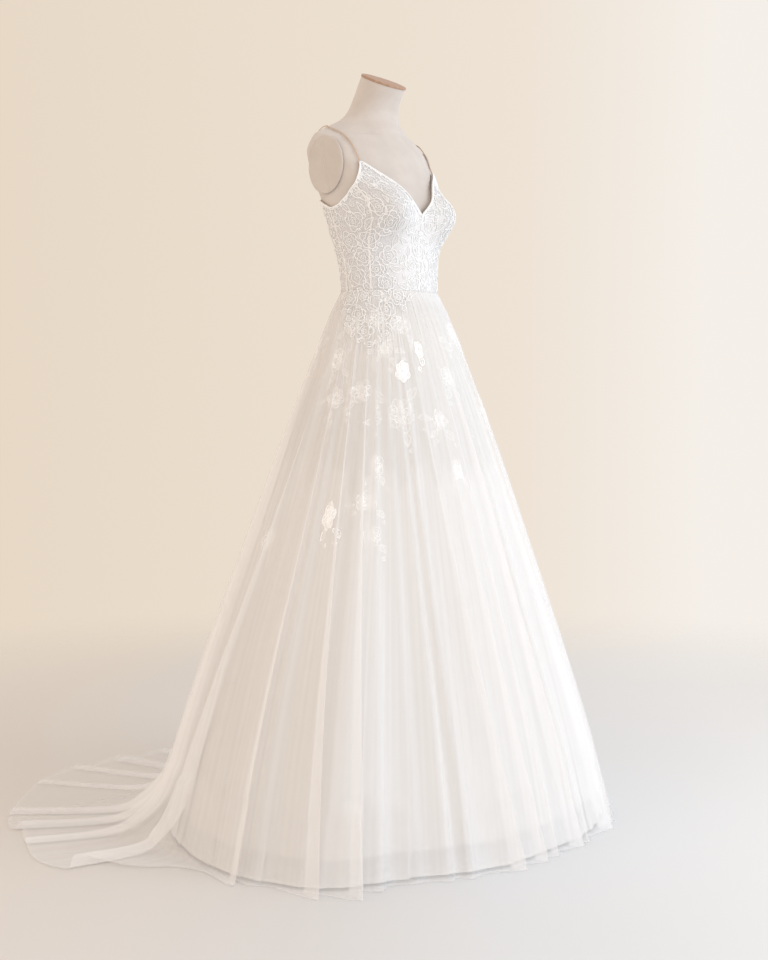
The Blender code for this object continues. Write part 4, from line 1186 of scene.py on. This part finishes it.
def make_blooms():
    """Corded lace flowers on the tulle, and the flatter sprigs of cord round them."""
    sprigs, faint = CordMesh(), CordMesh()
    finishes = {
        FAINT: petal_material("petal_faint", 0.045),
        SOFT: petal_material("petal_soft", 0.045),
        WHITE: petal_material("petal_white", 0.55),
    }
    for k, bloom in enumerate(BLOOMS):
        points, faces, count = [], [], 0
        lift = {FAINT: 0.0002, SOFT: 0.0004, WHITE: 0.0008}[bloom.kind]
        cords = sprigs if bloom.kind == WHITE else faint
        for x, y, z in make_petals(bloom, np.random.default_rng(100 + k)):
            grid = on_skirt(bloom.turn_deg, bloom.height, x, y, lift + z, 1.0)
            points.append(grid.reshape(-1, 3))
            faces.append(grid_faces(*grid.shape[:2], count))
            count += grid.shape[0] * grid.shape[1]
            rims = [np.concatenate([v[1:, 0], v[-1, :], v[:0:-1, -1]]) for v in (x, y, z)]
            rim = on_skirt(bloom.turn_deg, bloom.height, rims[0], rims[1], lift + rims[2] + 0.0002, 1.0)
            cords.add(rim, skirt_normal(bloom.turn_deg, len(rim)), 0.0014, 0.0002)
            for j in (2, 4):
                vein = on_skirt(bloom.turn_deg, bloom.height, x[1:, j], y[1:, j], lift + z[1:, j], 1.0)
                cords.add(vein, skirt_normal(bloom.turn_deg, len(vein)), 0.0008, 0.0001)
        piece = mesh_piece(
            "bloom_%02d" % (k + 1), np.concatenate(points), np.concatenate(faces), finishes[bloom.kind],
        )
        piece.visible_shadow = False
        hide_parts("lace_flower_%02d" % (k + 1))
        lay_sprig(cords, bloom, np.random.default_rng(200 + k), lift)
    sprigs.piece("lace_sprigs", CORD_SOFT, "lace_white").visible_shadow = False
    faint.piece("lace_sprigs_faint", CORD_FAINT, "lace_white").visible_shadow = False


def lay_on_skirt(cords, lines, turn_deg, height, lift):
    for line in lines:
        points = on_skirt(turn_deg, height, line.points[:, 0], line.points[:, 1], lift, 1.0)
        cords.add(points, skirt_normal(turn_deg, len(points)), line.width, line.width * 0.12)


def lay_sprig(cords, bloom, rng, lift):
    """Leaves and buds of cord that fan out from a bloom, mostly downwards."""
    radius = float(skirt_radius(np.array([bloom.turn_deg]), np.array([bloom.height]))[0])
    for k in range(bloom.leaves):
        angle = -math.pi / 2 + (k - (bloom.leaves - 1) / 2) * 1.1 + rng.uniform(-0.35, 0.35)
        size = bloom.radius * rng.uniform(0.75, 1.05)
        far = bloom.radius * (0.55 + 0.45 * bloom.narrow) + size * 0.55
        turn = bloom.turn_deg + math.degrees(far * math.cos(angle) / radius)
        height = bloom.height + far * math.sin(angle)
        if height > WAIST - 0.012:
            continue
        lay_on_skirt(cords, turned(leaf(size, rng), angle), turn, height, lift)
        bud = curl(0.0045, rng)
        lay_on_skirt(cords, turned(bud, angle), turn + rng.uniform(-3, 3), height - size * 0.75, lift)


# ---------------------------------------------------------------- floor, light and camera


def make_floor():
    count, rings = 96, (0.0, 0.5, 1.0, 1.6, 2.4, 3.4)
    points, faces = [(0.0, 0.0, 0.0)], []
    for radius in rings[1:]:
        for i in range(count):
            a = 2 * math.pi * i / count
            points.append((radius * math.cos(a), radius * math.sin(a), 0.0))
    for i in range(count):
        faces.append((0, 1 + i, 1 + (i + 1) % count))
    for k in range(len(rings) - 2):
        for i in range(count):
            j = (i + 1) % count
            a, b = 1 + k * count, 1 + (k + 1) * count
            faces.append((a + i, b + i, b + j, a + j))
    mesh = bpy.data.meshes.new("floor")
    mesh.from_pydata(points, [], faces)
    floor = bpy.data.objects.new("floor", mesh)
    bpy.context.scene.collection.objects.link(floor)
    made, tree, shader = new_material("floor_pale_painted_light")
    # painted light: the floor's colour turns lighter and cooler towards the window side
    tree.links.new(side_to_side(tree, FLOOR_PAINTED_LIGHT, 1.0, "Object"), shader.inputs["Base Color"])
    shader.inputs["Roughness"].default_value = 0.9
    shader.inputs["Specular IOR Level"].default_value = 0.1
    place = node(tree, "ShaderNodeTexCoord")
    length = node(tree, "ShaderNodeVectorMath", operation="LENGTH")
    fade = node(tree, "ShaderNodeMapRange", interpolation_type="SMOOTHSTEP")
    fade.inputs["From Min"].default_value = 1.3
    fade.inputs["From Max"].default_value = 3.2
    fade.inputs["To Min"].default_value = 1.0
    fade.inputs["To Max"].default_value = 0.0
    tree.links.new(place.outputs["Object"], length.inputs[0])
    tree.links.new(length.outputs["Value"], fade.inputs["Value"])
    tree.links.new(fade.outputs["Result"], shader.inputs["Alpha"])
    mesh.materials.append(made)


def area_light(name, place, target, size, power, colour):
    data = bpy.data.lights.new(name, "AREA")
    data.shape = "RECTANGLE"
    data.size, data.size_y = size
    data.energy = power
    data.color = colour
    lamp = bpy.data.objects.new(name, data)
    bpy.context.scene.collection.objects.link(lamp)
    lamp.location = place
    lamp.rotation_euler = (Vector(target) - Vector(place)).to_track_quat("-Z", "Y").to_euler()
    return lamp


# Colour of the wall towards the left and right of the view, with painted light: darker and warmer on the left,
# lighter and paler towards the window on the right; and the light that the room gives
WALL_PAINTED_LIGHT = ((0.0, (0.80, 0.69, 0.565)), (0.68, (0.855, 0.765, 0.665)), (0.92, (0.91, 0.865, 0.81)))
ROOM = ((0.0, (1.0, 0.87, 0.745)), (0.45, (1.0, 0.93, 0.87)), (1.0, (0.95, 0.97, 1.0)))
ROOM_STRENGTH = 0.92
# The floor's colour from the left of the view to its right, with painted light: warmer on the left, lighter and
# cooler towards the window on the right.
FLOOR_PAINTED_LIGHT = ((0.0, (0.70, 0.645, 0.59)), (0.42, (0.675, 0.66, 0.65)), (0.60, (0.705, 0.715, 0.73)), (1.0, (0.77, 0.775, 0.78)))


def side_to_side(tree, stops, spread, coordinates="Generated"):
    """A colour that passes from the photo's left to its right."""
    place = node(tree, "ShaderNodeTexCoord")
    across = node(tree, "ShaderNodeVectorMath", operation="DOT_PRODUCT")
    across.inputs[1].default_value = (math.cos(CAMERA_TURN), -math.sin(CAMERA_TURN), 0.0)
    share = node(tree, "ShaderNodeMapRange")
    share.inputs["From Min"].default_value = -spread
    share.inputs["From Max"].default_value = spread
    ramp = node(tree, "ShaderNodeValToRGB")
    while len(ramp.color_ramp.elements) < len(stops):
        ramp.color_ramp.elements.new(0.5)
    for element, (position, colour) in zip(ramp.color_ramp.elements, stops):
        element.position = position
        element.color = (*colour, 1)
    tree.links.new(place.outputs[coordinates], across.inputs[0])
    tree.links.new(across.outputs["Value"], share.inputs["Value"])
    tree.links.new(share.outputs["Result"], ramp.inputs["Fac"])
    return ramp.outputs["Color"]


def make_light():
    scene = bpy.context.scene
    scene.view_settings.view_transform = "Standard"
    world = bpy.data.worlds.new("studio")
    scene.world = world
    world.use_nodes = True
    tree = world.node_tree
    shown = tree.nodes["Background"]
    lit = node(tree, "ShaderNodeBackground")
    lit.inputs["Strength"].default_value = ROOM_STRENGTH
    # the wall shown behind, with painted light that makes it lighter towards the window
    tree.links.new(side_to_side(tree, WALL_PAINTED_LIGHT, 0.27), shown.inputs["Color"])
    tree.links.new(side_to_side(tree, ROOM, 0.9), lit.inputs["Color"])
    path = node(tree, "ShaderNodeLightPath")
    mix = node(tree, "ShaderNodeMixShader")
    tree.links.new(path.outputs["Is Camera Ray"], mix.inputs[0])
    tree.links.new(lit.outputs[0], mix.inputs[1])
    tree.links.new(shown.outputs[0], mix.inputs[2])
    tree.links.new(mix.outputs[0], tree.nodes["World Output"].inputs["Surface"])
    # a tall window ahead and to the photo's right
    area_light("window_right", (1.4, -3.2, 1.7), (0, 0, 0.7), (2.2, 2.6), 66, (0.84, 0.92, 1.0))
    area_light("warm_left", (-3.4, 0.2, 1.5), (0, 0, 0.4), (2.0, 2.4), 17, (1.0, 0.85, 0.70))


CAMERA_TURN = math.radians(45)
CAMERA_DISTANCE = 3.0
CAMERA_HEIGHT = 0.90
CAMERA_DOWN = math.radians(3.11)
FOCAL_PIXELS = 1365.0
IMAGE_HIGH = 960.0
AXIS_OFF_CENTRE = 6.0


def make_camera():
    """The photo's viewpoint: 45 degrees to the wearer's right, a little above the hips."""
    right = Vector((math.cos(CAMERA_TURN), -math.sin(CAMERA_TURN), 0))
    towards = Vector((-math.sin(CAMERA_TURN), -math.cos(CAMERA_TURN), 0))
    data = bpy.data.cameras.new("camera")
    data.sensor_width = 36
    data.lens = FOCAL_PIXELS / IMAGE_HIGH * 36
    camera = bpy.data.objects.new("camera", data)
    bpy.context.scene.collection.objects.link(camera)
    aside = AXIS_OFF_CENTRE / FOCAL_PIXELS * CAMERA_DISTANCE
    camera.location = towards * CAMERA_DISTANCE - right * aside + Vector((0, 0, CAMERA_HEIGHT))
    look = -towards * math.cos(CAMERA_DOWN) - Vector((0, 0, math.sin(CAMERA_DOWN)))
    camera.rotation_euler = look.to_track_quat("-Z", "Y").to_euler()
    bpy.context.scene.camera = camera


make_camera()
make_light()
make_floor()
make_form()
make_bodice()
make_edging()
make_seam_ridges()
make_buttons()
make_skirt()
make_under_layers()
make_blooms()
cycles = bpy.context.scene.cycles
cycles.transparent_max_bounces = 16
cycles.max_bounces = 5
cycles.diffuse_bounces = 3
cycles.glossy_bounces = 1
cycles.transmission_bounces = 1
